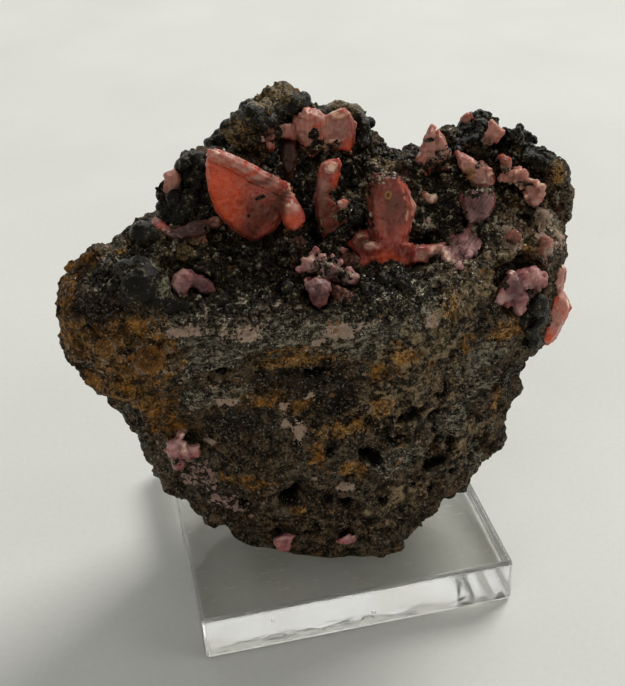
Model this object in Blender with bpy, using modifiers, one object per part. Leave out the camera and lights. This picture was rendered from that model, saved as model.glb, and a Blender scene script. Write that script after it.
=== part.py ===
"""Rhodochrosite crystals in a limonite and goethite matrix, standing on a clear acrylic block.

Units are metres and +Z is up. The origin is the middle of the block's underside, +X runs along
the block's front edge and +Y points away from the front. Sizes are written in millimetres.
"""

import math
import random

import bmesh
import bpy
from mathutils import Matrix, Vector, noise

MM = 0.001

# Driving dimensions, in millimetres.
BLOCK_SIDE = 76.2
BLOCK_THICKNESS = 12.7
BLOCK_EDGE = 1.2
GAP = 0.3
ROCK_FOOT = BLOCK_THICKNESS + GAP
# A socket is this much wider than its crystal on every side, which leaves the gap on slanted faces.
SOCKET_ROOM = 0.4
# Cells that the rock is meshed with, and the share of its faces that is kept.
ROUGH_CELL = 1.7
MATRIX_CELL = 1.35
MATRIX_KEEP = 0.112
RING_POINTS = 28
BALL_DIVISIONS = 3
KNOB_DIVISIONS = 2

# Level sections of the rock. Each one has its height, the (x, y) of its left, right, front and back
# ends, and how boxy its front left quarter is. The ring between the ends is four quarter curves.
SECTIONS = [
    # height, left, right, front, back, boxiness
    (8, (-22, -9), (17, -14), (5, -26), (-3, 8), 1.7),
    (14, (-27, -10), (23, -17), (5, -29.5), (-3, 13), 1.7),
    (20, (-35, -8), (33, -15), (6, -31), (-2, 18), 1.8),
    (28, (-41, -6), (43, -12), (8, -31), (0, 22), 1.9),
    (37, (-44, -5), (49, -10), (9, -30), (2, 25), 2.0),
    (47, (-46, -5), (50, -10), (10, -29.5), (3, 27), 2.2),
    (56, (-51, -6), (55, -11), (12, -29), (3, 28), 2.4),
    (65, (-58, -6), (59, -11), (14, -29), (3, 28), 2.6),
    (74, (-60.5, -6), (60, -10), (14, -29), (3, 27), 3.0),
    (82, (-60, -5), (61, -6), (12, -30), (4, 25), 3.0),
    (87, (-55, -3), (61.5, 1), (0, -27), (4, 23), 3.0),
    (92, (-47, 0), (61, 3), (2, -12), (5, 19), 2.6),
    (97, (-36, 3), (58, 5), (3, -4), (5, 15), 2.4),
    (102, (-28, 5), (52, 7), (5, 1), (6, 12), 2.4),
]
# How boxy the other quarters are: 2 is an ellipse, more is boxy and less is nearly straight.
FRONT_RIGHT = 1.2
BACK_RIGHT = 2.0
BACK_LEFT = 1.8

# Rounded masses that the rock bulges into: centre and radii.
LUMPS = {
    "left lobe": ((-44.5, -10, 82), (15.5, 16, 14)),
    "left lobe front": ((-41, -17, 80), (12, 9, 13)),
    "left peak": ((-7, 9, 99), (16, 8, 13)),
    "left peak crest": ((-3.5, 9, 107.5), (11, 6, 8)),
    "middle crest": ((11, 9, 100), (9, 7, 9)),
    "right peak": ((46.5, 12, 95), (10, 7.5, 8)),
    "right shoulder": ((45, 2, 78), (16, 13, 11)),
    "ledge lip": ((-8, -22, 80), (33, 8.5, 6)),
}
# Hollows in it: centre and radii.
HOLLOWS = {
    "pocket": ((-9, -17, 94), (17, 9, 6.5)),
    "pocket right": ((18, -17, 92), (16, 9, 7)),
    "under the ledge": ((-14, -35, 66), (26, 6, 4)),
    "front pit low": ((-13.5, -32, 37), (5, 7, 4.5)),
    "front pit middle": ((3, -32, 46), (5, 6, 4.5)),
    "front pit right": ((24, -28, 41), (6, 7, 5)),
    "front pit upper": ((20, -31, 55), (4.5, 6, 4)),
    "front pit foot": ((13, -33, 27), (5, 6, 4)),
    "side pit": ((37, -21, 33), (5, 7, 5)),
    "back hollow": ((-16, 31, 62), (14, 7, 10)),
    "back pit": ((24, 30, 48), (8, 6, 9)),
}
# Roughness of the broken rock: (size of the waves, height of the waves).
ROUGHNESS = [(17, 2.0), (7, 1.2)]
WAVE_FALLOFF, WAVE_STEP, WAVE_LEVELS = 0.9, 2.0, 3

# Single goethite knobs: centre and radius.
KNOBS = {
    "left dome": ((-40.5, -22, 93), 6.2),
    "left dome low": ((-48, -22, 88), 4.2),
    "left dome high": ((-38, -11, 98.5), 4.4),
    "ochre boss": ((-47.5, -22, 78), 4.4),
    "brown boss": ((-37.5, -26, 75), 5.6),
    "crown block": ((-11, 1, 115), 5.4),
    "crown cap": ((-8, 5, 117.5), 4.2),
    "crown right": ((-2.5, 6, 117), 4.2),
    "wall knob": ((-26.5, 3, 107.5), 4.0),
    "wall knob low": ((-30.5, 0, 98), 3.6),
    "right crest end": ((55.5, 1, 97.5), 4.0),
    "crest knob": ((13.5, 7, 109.5), 4.2),
    "crest knob low": ((16.5, 7, 105.5), 3.4),
    "edge knob upper": ((49, -15, 67.5), 4.0),
    "edge knob lower": ((47, -16, 61), 4.6),
    "edge knob back": ((53, -11, 62), 3.6),
}
# Crowds of small knobs: middle, spread, how many, smallest and largest radius.
CROWDS = {
    "left wall": ((-27, -2, 101), (9, 9, 8), 20, 2.4, 4.2),
    "left crest": ((-12, 4, 110), (14, 7, 8), 20, 2.4, 4.2),
    "block surround": ((8, 6, 110), (11, 6, 7), 14, 2.0, 3.2),
    "saddle": ((21, 3, 100), (9, 8, 5), 14, 1.8, 2.6),
    "right crest": ((46, 7, 102), (13, 8, 7), 20, 1.8, 3.0),
    "right slope": ((44, -6, 90), (14, 9, 8), 14, 1.8, 2.6),
    "left shelf": ((-38, -14, 94), (12, 9, 5), 12, 2.2, 3.4),
    "pocket floor": ((8, -12, 90), (22, 8, 5), 12, 1.6, 2.4),
    "back crest": ((2, 18, 98), (30, 6, 8), 16, 2.4, 3.8),
}
KNOB_SEED = 7
# How far a small knob's centre stands out of the rock and how flat a knob is, in radii.
KNOB_RISE = 0.35
KNOB_FLATNESS = 0.92

# Crystals. Every piece of one has its root, its tip, its width, its depth, how far along it is
# widest and how blunt its tip is. Pieces of one crystal overlap and are joined.
CRYSTALS = {
    "blade_crystal": [
        ((-9.5, -7, 94), (-24, -14.5, 117.8), 15.5, 8.0, 0.42, 0.10),
        ((-13, -8, 95), (-7.5, -10.5, 105.5), 9.0, 6.5, 0.55, 0.45),
        ((-9, -9, 101.5), (-5.6, -13.6, 99.8), 4.6, 4.6, 0.75, 0.70),
    ],
    "twin_block_crystal": [
        ((4.5, 4, 104), (0.2, 0.5, 118.3), 10.0, 7.5, 0.60, 0.55),
        ((5.0, 4, 104), (9.2, 0.0, 117.6), 8.6, 7.5, 0.66, 0.60),
    ],
    "finger_crystal": [
        ((-0.6, -7.5, 88), (3.7, -9.5, 110.6), 6.0, 5.6, 0.62, 0.42),
    ],
    "dome_crystal": [
        ((15.2, -5, 85), (16.9, -10, 105.0), 11.0, 9.5, 0.66, 0.50),
        ((13, -6, 84), (10.0, -15.0, 92.3), 9.0, 8.0, 0.60, 0.55),
        ((19, -6, 82), (20.2, -15.5, 90.3), 11.0, 8.0, 0.60, 0.60),
        ((24, -5, 81), (26.0, -12.5, 88.3), 8.0, 7.5, 0.60, 0.55),
        ((10, -6, 86), (7.9, -12.0, 95.8), 5.4, 5.0, 0.60, 0.40),
    ],
    "twin_tip_crystal": [
        ((30, 5, 95), (29.4, 2.6, 110.8), 6.6, 5.6, 0.35, 0.06),
        ((31, 4, 95), (32.4, 1.6, 108.4), 5.6, 5.0, 0.40, 0.10),
    ],
    "blunt_tip_crystal": [
        ((39.5, 5, 92), (38.4, -1.2, 103.8), 9.0, 6.0, 0.70, 0.65),
        ((41, 4, 91), (42.9, -2.0, 99.2), 6.0, 5.0, 0.70, 0.55),
    ],
    "fan_crystal": [
        ((36.7, -8, 85), (37.5, -6.8, 95.6), 6.4, 5.6, 0.62, 0.55),
        ((35.0, -8, 84), (34.2, -7.6, 94.2), 4.6, 5.0, 0.62, 0.50),
        ((36.0, -6, 86), (27.2, -20.4, 87.6), 6.6, 5.0, 0.66, 0.60),
        ((36.5, -6, 85), (31.2, -20.4, 88.4), 6.4, 5.0, 0.66, 0.60),
    ],
    "peak_crystal": [
        ((44, 7, 98), (44.4, 4.0, 110.0), 5.0, 4.6, 0.42, 0.08),
        ((45, 7, 98), (48.0, 3.5, 106.0), 5.0, 4.6, 0.50, 0.20),
    ],
    "rim_crystals": [
        ((49, 2, 88), (49.0, -1.6, 101.0), 5.6, 5.0, 0.55, 0.35),
        ((51, 0, 87), (54.3, -5.0, 95.6), 6.4, 5.4, 0.60, 0.45),
        ((50, -1, 85), (50.6, -9.5, 91.4), 5.4, 5.0, 0.60, 0.50),
    ],
    "side_mass_crystal": [
        ((44, -11, 78), (38.4, -22.5, 82.0), 7.4, 6.4, 0.72, 0.62),
        ((45, -10, 77), (46.4, -21.5, 84.0), 9.0, 8.0, 0.72, 0.62),
        ((46, -10, 75), (49.8, -19.8, 77.2), 8.0, 7.6, 0.72, 0.62),
        ((44, -11, 75), (42.0, -24.2, 74.2), 8.0, 7.6, 0.72, 0.62),
    ],
    "edge_crystal": [
        ((53, -5, 70), (58.4, -10.5, 73.4), 6.8, 6.0, 0.60, 0.50),
        ((52, -5, 67), (60.0, -12.5, 66.0), 9.0, 7.5, 0.60, 0.45),
        ((51, -5, 65), (55.4, -14.0, 58.6), 7.6, 6.6, 0.60, 0.40),
    ],
    "left_crystal": [
        ((-29.8, 2, 101.5), (-30.8, -3.5, 109.6), 5.0, 4.4, 0.60, 0.40),
    ],
    "lilac_patch_left": [
        ((-31, -14, 88), (-32.2, -23.0, 95.0), 6.8, 5.0, 0.60, 0.60),
        ((-29, -14, 88), (-27.2, -23.0, 91.4), 6.4, 5.0, 0.60, 0.60),
    ],
    "lilac_patch_centre": [
        ((-2, -12, 84), (-4.4, -22.0, 92.4), 8.4, 7.0, 0.70, 0.66),
        ((0, -12, 84), (3.0, -24.5, 90.6), 8.0, 7.0, 0.70, 0.66),
        ((-2, -13, 83), (-5.0, -28.0, 87.4), 6.6, 6.0, 0.75, 0.66),
    ],
    "front_patch": [
        ((-36, -18, 50), (-37.4, -27.0, 54.0), 7.0, 5.4, 0.70, 0.70),
        ((-35, -18, 49), (-33.2, -27.0, 51.0), 6.0, 5.0, 0.70, 0.70),
        ((-36, -17, 48), (-38.0, -24.8, 46.6), 4.6, 4.4, 0.70, 0.70),
    ],
    "foot_patch_left": [
        ((-15.5, -20, 22), (-16.2, -29.0, 22.4), 4.6, 4.4, 0.75, 0.70),
    ],
    "foot_patch_right": [
        ((-1.0, -23, 22), (-1.2, -31.6, 23.2), 4.2, 3.2, 0.75, 0.70),
    ],
}
CRYSTAL_SIDES = 6
# A crystal's root is this share of its full width, and its broad side looks out of the pocket.
ROOT_SHARE = 0.7
OUTWARD = (0, -1, 0.4)
FLAT_ANGLE = math.radians(1)


def clear_scene():
    """Removes every object, so that the script can be run again."""
    for obj in list(bpy.data.objects):
        bpy.data.objects.remove(obj)


def collection(name):
    made = bpy.data.collections.new(name)
    bpy.context.scene.collection.children.link(made)
    return made


def material(name, colour, roughness, metallic=0.0, transmission=0.0, ior=1.5):
    made = bpy.data.materials.new(name)
    made.use_nodes = True
    shader = made.node_tree.nodes["Principled BSDF"]
    shader.inputs["Base Color"].default_value = (*colour, 1.0)
    shader.inputs["Roughness"].default_value = roughness
    shader.inputs["Metallic"].default_value = metallic
    shader.inputs["Transmission Weight"].default_value = transmission
    shader.inputs["IOR"].default_value = ior
    made.diffuse_color = (*colour, 1.0)
    return made


def new_object(name, bm, home, paint=None):
    """Makes an object of a bmesh, frees the bmesh and links the object to a collection."""
    mesh = bpy.data.meshes.new(name)
    bm.to_mesh(mesh)
    bm.free()
    obj = bpy.data.objects.new(name, mesh)
    home.objects.link(obj)
    if paint:
        mesh.materials.append(paint)
    return obj


def evaluated_mesh(obj):
    """The object's mesh with its modifiers applied, as a mesh of its own."""
    graph = bpy.context.evaluated_depsgraph_get()
    graph.update()
    return bpy.data.meshes.new_from_object(obj.evaluated_get(graph))


def as_helper(obj):
    obj.hide_render = True
    obj.display_type = "WIRE"
    return obj


def quarter(start, end, centre, power, count):
    """Points from one end of a section to the next, along a quarter of a rounded box."""
    across = Vector((start[0] - centre[0], start[1] - centre[1]))
    along = Vector((end[0] - centre[0], end[1] - centre[1]))
    points = []
    for step in range(count):
        turn = math.pi / 2 * step / count
        u = math.cos(turn) ** (2 / power)
        v = math.sin(turn) ** (2 / power)
        points.append(Vector(centre) + across * u + along * v)
    return points


def ring(left, right, front, back, boxiness):
    """A closed ring through the four ends of a section, anticlockwise from the right."""
    centre = ((left[0] + right[0]) / 2 + (front[0] + back[0]) / 2, left[1] + right[1])
    centre = (centre[0] / 2, centre[1] / 2)
    count = RING_POINTS // 4
    return (
        quarter(right, back, centre, BACK_RIGHT, count)
        + quarter(back, left, centre, BACK_LEFT, count)
        + quarter(left, front, centre, boxiness, count)
        + quarter(front, right, centre, FRONT_RIGHT, count)
    )


def add_ball(bm, centre, radii, divisions=BALL_DIVISIONS):
    size = Vector(radii) * MM
    place = Matrix.Translation(Vector(centre) * MM) @ Matrix.Diagonal(size).to_4x4()
    bmesh.ops.create_icosphere(bm, subdivisions=divisions, radius=1, matrix=place)


def add_sections(bm):
    """Lofts the rock's sections and closes both ends."""
    loops = []
    for height, *ends in SECTIONS:
        points = [bm.verts.new((p.x * MM, p.y * MM, height * MM)) for p in ring(*ends)]
        loops.append([bm.edges.new(pair) for pair in zip(points, points[1:] + points[:1])])
    for lower, upper in zip(loops, loops[1:]):
        bmesh.ops.bridge_loops(bm, edges=lower + upper)
    bmesh.ops.contextual_create(bm, geom=loops[0])
    bmesh.ops.contextual_create(bm, geom=loops[-1])
    bmesh.ops.recalc_face_normals(bm, faces=bm.faces)


def remesh(obj, cell):
    made = obj.modifiers.new("Remesh", "REMESH")
    made.mode = "VOXEL"
    made.voxel_size = cell * MM


def difference(obj, cutters, name):
    made = obj.modifiers.new(name, "BOOLEAN")
    made.operation = "DIFFERENCE"
    made.solver = "EXACT"
    made.operand_type = "COLLECTION"
    made.collection = cutters


def roughen(mesh):
    """Moves every point along its normal by two sizes of fractal noise."""
    for size, height in ROUGHNESS:
        shifts = []
        for vertex in mesh.vertices:
            wave = noise.fractal(vertex.co / (size * MM), WAVE_FALLOFF, WAVE_STEP, WAVE_LEVELS)
            shifts.append(vertex.normal * wave * height * MM)
        for vertex, shift in zip(mesh.vertices, shifts):
            vertex.co += shift


def rough_rock(helpers):
    """The rock's main mass: sections and lumps in one skin, less the hollows, roughened."""
    bm = bmesh.new()
    add_sections(bm)
    for centre, radii in LUMPS.values():
        add_ball(bm, centre, radii)
    rock = new_object("rough_rock", bm, helpers)
    remesh(rock, ROUGH_CELL)
    hollows = collection("hollows")
    for name, (centre, radii) in HOLLOWS.items():
        ball = bmesh.new()
        add_ball(ball, centre, radii)
        as_helper(new_object(name, ball, hollows))
    difference(rock, hollows, "Hollows")
    rock.data = evaluated_mesh(rock)
    rock.modifiers.clear()
    roughen(rock.data)
    return as_helper(rock)


def knob_places(rock):
    """The centre and radius of every small knob, each one sitting on the rock's surface."""
    chance = random.Random(KNOB_SEED)
    for middle, spread, count, smallest, largest in CROWDS.values():
        for _ in range(count):
            where = [m + s * chance.uniform(-1, 1) for m, s in zip(middle, spread)]
            found, spot, normal, _ = rock.closest_point_on_mesh(Vector(where) * MM)
            radius = chance.uniform(smallest, largest)
            if found:
                yield spot / MM + normal * radius * KNOB_RISE, radius


def keep_outer_skin(bm):
    """Deletes every skin but the one with the most faces: loose crumbs and sealed bubbles."""
    left = set(bm.faces)
    skins = []
    while left:
        skin = {left.pop()}
        front = list(skin)
        while front:
            near = {other for edge in front.pop().edges for other in edge.link_faces}
            front += near & left
            skin |= near
            left -= near
        skins.append(skin)
    largest = max(skins, key=len)
    bmesh.ops.delete(bm, geom=[face for face in bm.faces if face not in largest], context="FACES")


def build_matrix(home, helpers, sockets, paint):
    """The rock with its knobs, cut flat underneath and cut out round every crystal."""
    rock = rough_rock(helpers)
    bm = bmesh.new()
    bm.from_mesh(rock.data)
    for centre, radius in [*KNOBS.values(), *knob_places(rock)]:
        add_ball(bm, centre, (radius, radius, radius * KNOB_FLATNESS), KNOB_DIVISIONS)
    lumpy = as_helper(new_object("lumpy_rock", bm, helpers))
    remesh(lumpy, MATRIX_CELL)
    thin = lumpy.modifiers.new("Decimate", "DECIMATE")
    thin.ratio = MATRIX_KEEP
    bm = bmesh.new()
    bm.from_mesh(evaluated_mesh(lumpy))
    keep_outer_skin(bm)
    cut = bmesh.ops.bisect_plane(
        bm,
        geom=bm.verts[:] + bm.edges[:] + bm.faces[:],
        plane_co=(0, 0, ROCK_FOOT * MM),
        plane_no=(0, 0, -1),
        clear_outer=True,
    )
    rim = [item for item in cut["geom_cut"] if isinstance(item, bmesh.types.BMEdge)]
    bmesh.ops.holes_fill(bm, edges=rim)
    bmesh.ops.triangulate(bm, faces=bm.faces)
    bmesh.ops.recalc_face_normals(bm, faces=bm.faces)
    solid = as_helper(new_object("solid_rock", bm, helpers))
    difference(solid, sockets, "Sockets")
    bm = bmesh.new()
    bm.from_mesh(evaluated_mesh(solid))
    keep_outer_skin(bm)
    return new_object("limonite_matrix", bm, home, paint)


def add_spike(bm, piece, grow):
    """A six-sided crystal: a narrow root, its widest ring, and a pointed or blunt tip."""
    root, tip, width, depth, shoulder, blunt = piece
    root, tip = Vector(root), Vector(tip)
    axis = (tip - root).normalized()
    root, tip = root - axis * grow, tip + axis * grow
    side = axis.cross(Vector(OUTWARD)).normalized()
    facing = side.cross(axis)
    points = []
    for along, size in ((0.0, ROOT_SHARE), (shoulder, 1.0), (1.0, blunt)):
        middle = root.lerp(tip, along)
        for step in range(CRYSTAL_SIDES):
            turn = math.tau * (step + 0.5) / CRYSTAL_SIDES
            across = side * math.cos(turn) * (width / 2 * size + grow)
            out = facing * math.sin(turn) * (depth / 2 * size + grow)
            points.append(bm.verts.new((middle + across + out) * MM))
    hull = bmesh.ops.convex_hull(bm, input=points)
    bmesh.ops.delete(bm, geom=hull["geom_interior"], context="VERTS")
    flat = [face for face in hull["geom"] if isinstance(face, bmesh.types.BMFace)]
    edges = {edge for face in flat if face.is_valid for edge in face.edges}
    bmesh.ops.dissolve_limit(bm, angle_limit=FLAT_ANGLE, edges=list(edges))


def crystal_object(name, pieces, grow, home, paint=None):
    """Joins the pieces of one crystal with Boolean unions."""
    joined = None
    for piece in pieces:
        bm = bmesh.new()
        add_spike(bm, piece, grow)
        bmesh.ops.recalc_face_normals(bm, faces=bm.faces)
        spike = new_object(name, bm, home, paint)
        if joined is None:
            joined = spike
            continue
        union = joined.modifiers.new("Join", "BOOLEAN")
        union.operation = "UNION"
        union.solver = "EXACT"
        union.object = spike
        joined.data = evaluated_mesh(joined)
        joined.modifiers.clear()
        bpy.data.objects.remove(spike)
    joined.name = name
    return joined


def build_block(home, paint):
    """The display block: a square slab with softened edges."""
    bm = bmesh.new()
    size = Vector((BLOCK_SIDE, BLOCK_SIDE, BLOCK_THICKNESS)) * MM
    place = Matrix.Translation((0, 0, size.z / 2)) @ Matrix.Diagonal(size).to_4x4()
    bmesh.ops.create_cube(bm, size=1, matrix=place)
    block = new_object("acrylic_base", bm, home, paint)
    edge = block.modifiers.new("Edges", "BEVEL")
    edge.width = BLOCK_EDGE * MM
    edge.segments = 2
    return block


def main():
    clear_scene()
    home = collection("rhodochrosite_specimen")
    helpers = collection("helpers")
    sockets = collection("sockets")
    rock = material("limonite", (0.045, 0.032, 0.022), 0.7)
    pink = material("rhodochrosite", (0.55, 0.10, 0.07), 0.3, transmission=0.2, ior=1.7)
    clear = material("acrylic", (0.95, 0.97, 0.97), 0.05, transmission=1.0, ior=1.49)
    build_block(home, clear)
    for name, pieces in CRYSTALS.items():
        crystal_object(name, pieces, 0.0, home, pink)
        as_helper(crystal_object(name + "_socket", pieces, SOCKET_ROOM, sockets))
    build_matrix(home, helpers, sockets, rock)


main()
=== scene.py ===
# %% [markdown]
# # A rhodochrosite specimen on a clear display block
#
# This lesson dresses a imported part: a dark limonite rock with red rhodochrosite crystals in the
# pocket on its top, standing on a small block of clear acrylic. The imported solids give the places
# and the sizes. Every piece below is a finer version of one of them, made where the solid already is.

import math
import random

import bmesh
import bpy
import numpy as np
from mathutils import Matrix, Vector
from mathutils.bvhtree import BVHTree


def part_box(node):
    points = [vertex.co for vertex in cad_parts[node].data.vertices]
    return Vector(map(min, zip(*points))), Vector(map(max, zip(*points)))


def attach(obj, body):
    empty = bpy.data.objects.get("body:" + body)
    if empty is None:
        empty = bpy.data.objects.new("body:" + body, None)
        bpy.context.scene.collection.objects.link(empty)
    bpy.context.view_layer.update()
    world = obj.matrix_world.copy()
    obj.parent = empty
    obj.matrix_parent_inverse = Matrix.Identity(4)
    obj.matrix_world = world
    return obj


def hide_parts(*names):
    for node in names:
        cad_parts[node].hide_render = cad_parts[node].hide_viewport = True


MM = 0.001
A_METRE = 1000
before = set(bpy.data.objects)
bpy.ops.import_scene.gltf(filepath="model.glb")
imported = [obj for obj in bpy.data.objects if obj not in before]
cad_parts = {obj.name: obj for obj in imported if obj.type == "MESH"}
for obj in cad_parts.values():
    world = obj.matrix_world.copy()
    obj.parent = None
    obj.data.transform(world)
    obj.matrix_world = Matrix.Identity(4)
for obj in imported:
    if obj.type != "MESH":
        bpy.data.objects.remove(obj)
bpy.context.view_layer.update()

# %% [markdown]
# ## The camera
#
# A specimen is looked at from a little above, across the front edge of its block. The camera could be
# aimed with a constraint, but a matrix made from three plain angles is exact. The same angles then give
# the ray through any point of the view, in pixels, and such rays place the small features on the stone.

# %% Place the camera
IMAGE_WIDTH = 625
IMAGE_HEIGHT = 686
FOCAL_PIXELS = 1189.6
EYE = Vector((-47.4, -237.4, 213.4)) * MM
AZIMUTH = math.radians(-11.02)
ELEVATION = math.radians(32.56)
ROLL = math.radians(-2.95)

backward = Vector((
    math.sin(AZIMUTH) * math.cos(ELEVATION),
    -math.cos(AZIMUTH) * math.cos(ELEVATION),
    math.sin(ELEVATION),
))
level_right = (-backward).cross(Vector((0, 0, 1))).normalized()
level_up = level_right.cross(-backward)
rightward = math.cos(ROLL) * level_right + math.sin(ROLL) * level_up
upward = math.cos(ROLL) * level_up - math.sin(ROLL) * level_right

camera_data = bpy.data.cameras.new("specimen_camera")
camera_data.sensor_width = 36
camera_data.lens = camera_data.sensor_width * FOCAL_PIXELS / IMAGE_HEIGHT
camera_data.clip_start = 0.01
camera = bpy.data.objects.new("specimen_camera", camera_data)
bpy.context.scene.collection.objects.link(camera)
camera.matrix_world = Matrix.Translation(EYE) @ Matrix((rightward, upward, backward)).transposed().to_4x4()
bpy.context.scene.camera = camera


def ray_through(u, v):
    """The direction from the eye through a point of the view, given in pixels."""
    across = (u - IMAGE_WIDTH / 2) / FOCAL_PIXELS
    above = (IMAGE_HEIGHT / 2 - v) / FOCAL_PIXELS
    return rightward * across + upward * above - backward


def seen_at(u, v, y):
    """The place behind a point of the view that is y millimetres deep in the specimen."""
    ray = ray_through(u, v)
    return EYE + ray * ((y * MM - EYE.y) / ray.y)


print("lens:", round(camera_data.lens, 2), "mm")

# %% [markdown]
# ## Helpers for meshes
#
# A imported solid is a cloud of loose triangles, so a copy of it is merged before anything is grown on
# it. Modifiers do the heavy work, and their result is then kept as a plain mesh, which is what a
# finished piece has to be.

# %% Copy, remesh and settle


def new_piece(name, mesh):
    """Put a mesh into the scene as an object that stands at the origin."""
    piece = bpy.data.objects.new(name, mesh)
    bpy.context.scene.collection.objects.link(piece)
    return piece


def kept(name, work):
    """Turn a working mesh into a piece."""
    mesh = bpy.data.meshes.new(name)
    work.to_mesh(mesh)
    work.free()
    return new_piece(name, mesh)


def merged_copy(name, node):
    """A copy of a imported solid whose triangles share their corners."""
    work = bmesh.new()
    work.from_mesh(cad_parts[node].data)
    bmesh.ops.remove_doubles(work, verts=work.verts, dist=0.001 * MM)
    return kept(name, work)


def settle(piece):
    """Keep what the modifiers make as the piece's own plain mesh."""
    graph = bpy.context.evaluated_depsgraph_get()
    made = bpy.data.meshes.new_from_object(
        piece.evaluated_get(graph), preserve_all_data_layers=True, depsgraph=graph
    )
    piece.modifiers.clear()
    piece.data = made
    return piece


def remesh(piece, size):
    """Cover the piece with even quads of a size in millimetres."""
    modifier = piece.modifiers.new("even quads", "REMESH")
    modifier.mode = "VOXEL"
    modifier.voxel_size = size * MM
    modifier.use_smooth_shade = True
    return settle(piece)


def places(piece):
    """The corners of a piece as rows of x, y and z in metres."""
    flat = np.empty(len(piece.data.vertices) * 3, np.float32)
    piece.data.vertices.foreach_get("co", flat)
    return flat.reshape(-1, 3)


def triangles(piece):
    """How many triangles a piece has."""
    piece.data.calc_loop_triangles()
    return len(piece.data.loop_triangles)


# %% [markdown]
# ## Painting where a feature lies
#
# The rust, the slate-grey ledge and the places where black beads grow each cover a few rounded areas.
# They could be painted by hand, but here each area is a point of the view and two radii in millimetres.
# A ray through the point finds the stone, and every corner near that place gets a share from 0 to 1.

# %% Find and paint places
SPECIMEN_DEPTHS = range(-30, 30)


class Target:
    """A mesh that rays can strike."""

    def __init__(self, piece):
        points = [Vector(row) for row in places(piece).tolist()]
        faces = [tuple(face.vertices) for face in piece.data.polygons]
        self.tree = BVHTree.FromPolygons(points, faces)

    def strike(self, u, v):
        """The place and the normal where the ray through a point of the view meets the mesh."""
        place, normal, _, _ = self.tree.ray_cast(EYE, ray_through(u, v).normalized())
        return place, normal

    def graze(self, u, v):
        """The nearest that a ray comes to the mesh when it passes just outside."""
        tries = [seen_at(u, v, y) for y in SPECIMEN_DEPTHS]
        return min(tries, key=lambda point: self.tree.find_nearest(point)[3])


def paint(piece, target, name, spots):
    """Store a share for each corner: 1 in the middle of a spot, 0.5 on its rim, 0 outside."""
    points = places(piece)
    share = np.zeros(len(points), np.float32)
    missed = 0
    for u, v, wide, tall in spots:
        place, _ = target.strike(u, v)
        if place is None:
            missed += 1
            place = target.graze(u, v)
        radii = np.array([wide, max(wide, tall), tall]) * MM
        far = np.linalg.norm((points - np.array(place)) / radii, axis=1)
        share = np.maximum(share, np.clip(1 - far / 2, 0, 1))
    layer = piece.data.attributes.new(name, "FLOAT", "POINT")
    layer.data.foreach_set("value", share)
    print(f"{piece.name}: {name} covers {100 * (share > 0.5).mean():.1f}%, {missed} spots just outside")


# %% [markdown]
# ## Node trees written as expressions
#
# Wiring nodes by hand is slow to read in a script. A small class wraps a socket, so that adding or
# multiplying two sockets adds the Math node that does it. Every other node comes from one method. The
# same bench serves materials and geometry nodes.

# %% The bench for node trees


class Wire:
    """A node's output. Arithmetic on it adds Math nodes."""

    def __init__(self, bench, socket):
        self.bench = bench
        self.socket = socket

    def other(self, output):
        """Another output of the same node."""
        return Wire(self.bench, self.socket.node.outputs[output])

    def __add__(self, other):
        return self.bench.maths("ADD", self, other)

    def __radd__(self, other):
        return self.bench.maths("ADD", other, self)

    def __sub__(self, other):
        return self.bench.maths("SUBTRACT", self, other)

    def __rsub__(self, other):
        return self.bench.maths("SUBTRACT", other, self)

    def __mul__(self, other):
        return self.bench.maths("MULTIPLY", self, other)

    def __rmul__(self, other):
        return self.bench.maths("MULTIPLY", other, self)

    def __truediv__(self, other):
        return self.bench.maths("DIVIDE", self, other)

    def __rtruediv__(self, other):
        return self.bench.maths("DIVIDE", other, self)


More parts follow.
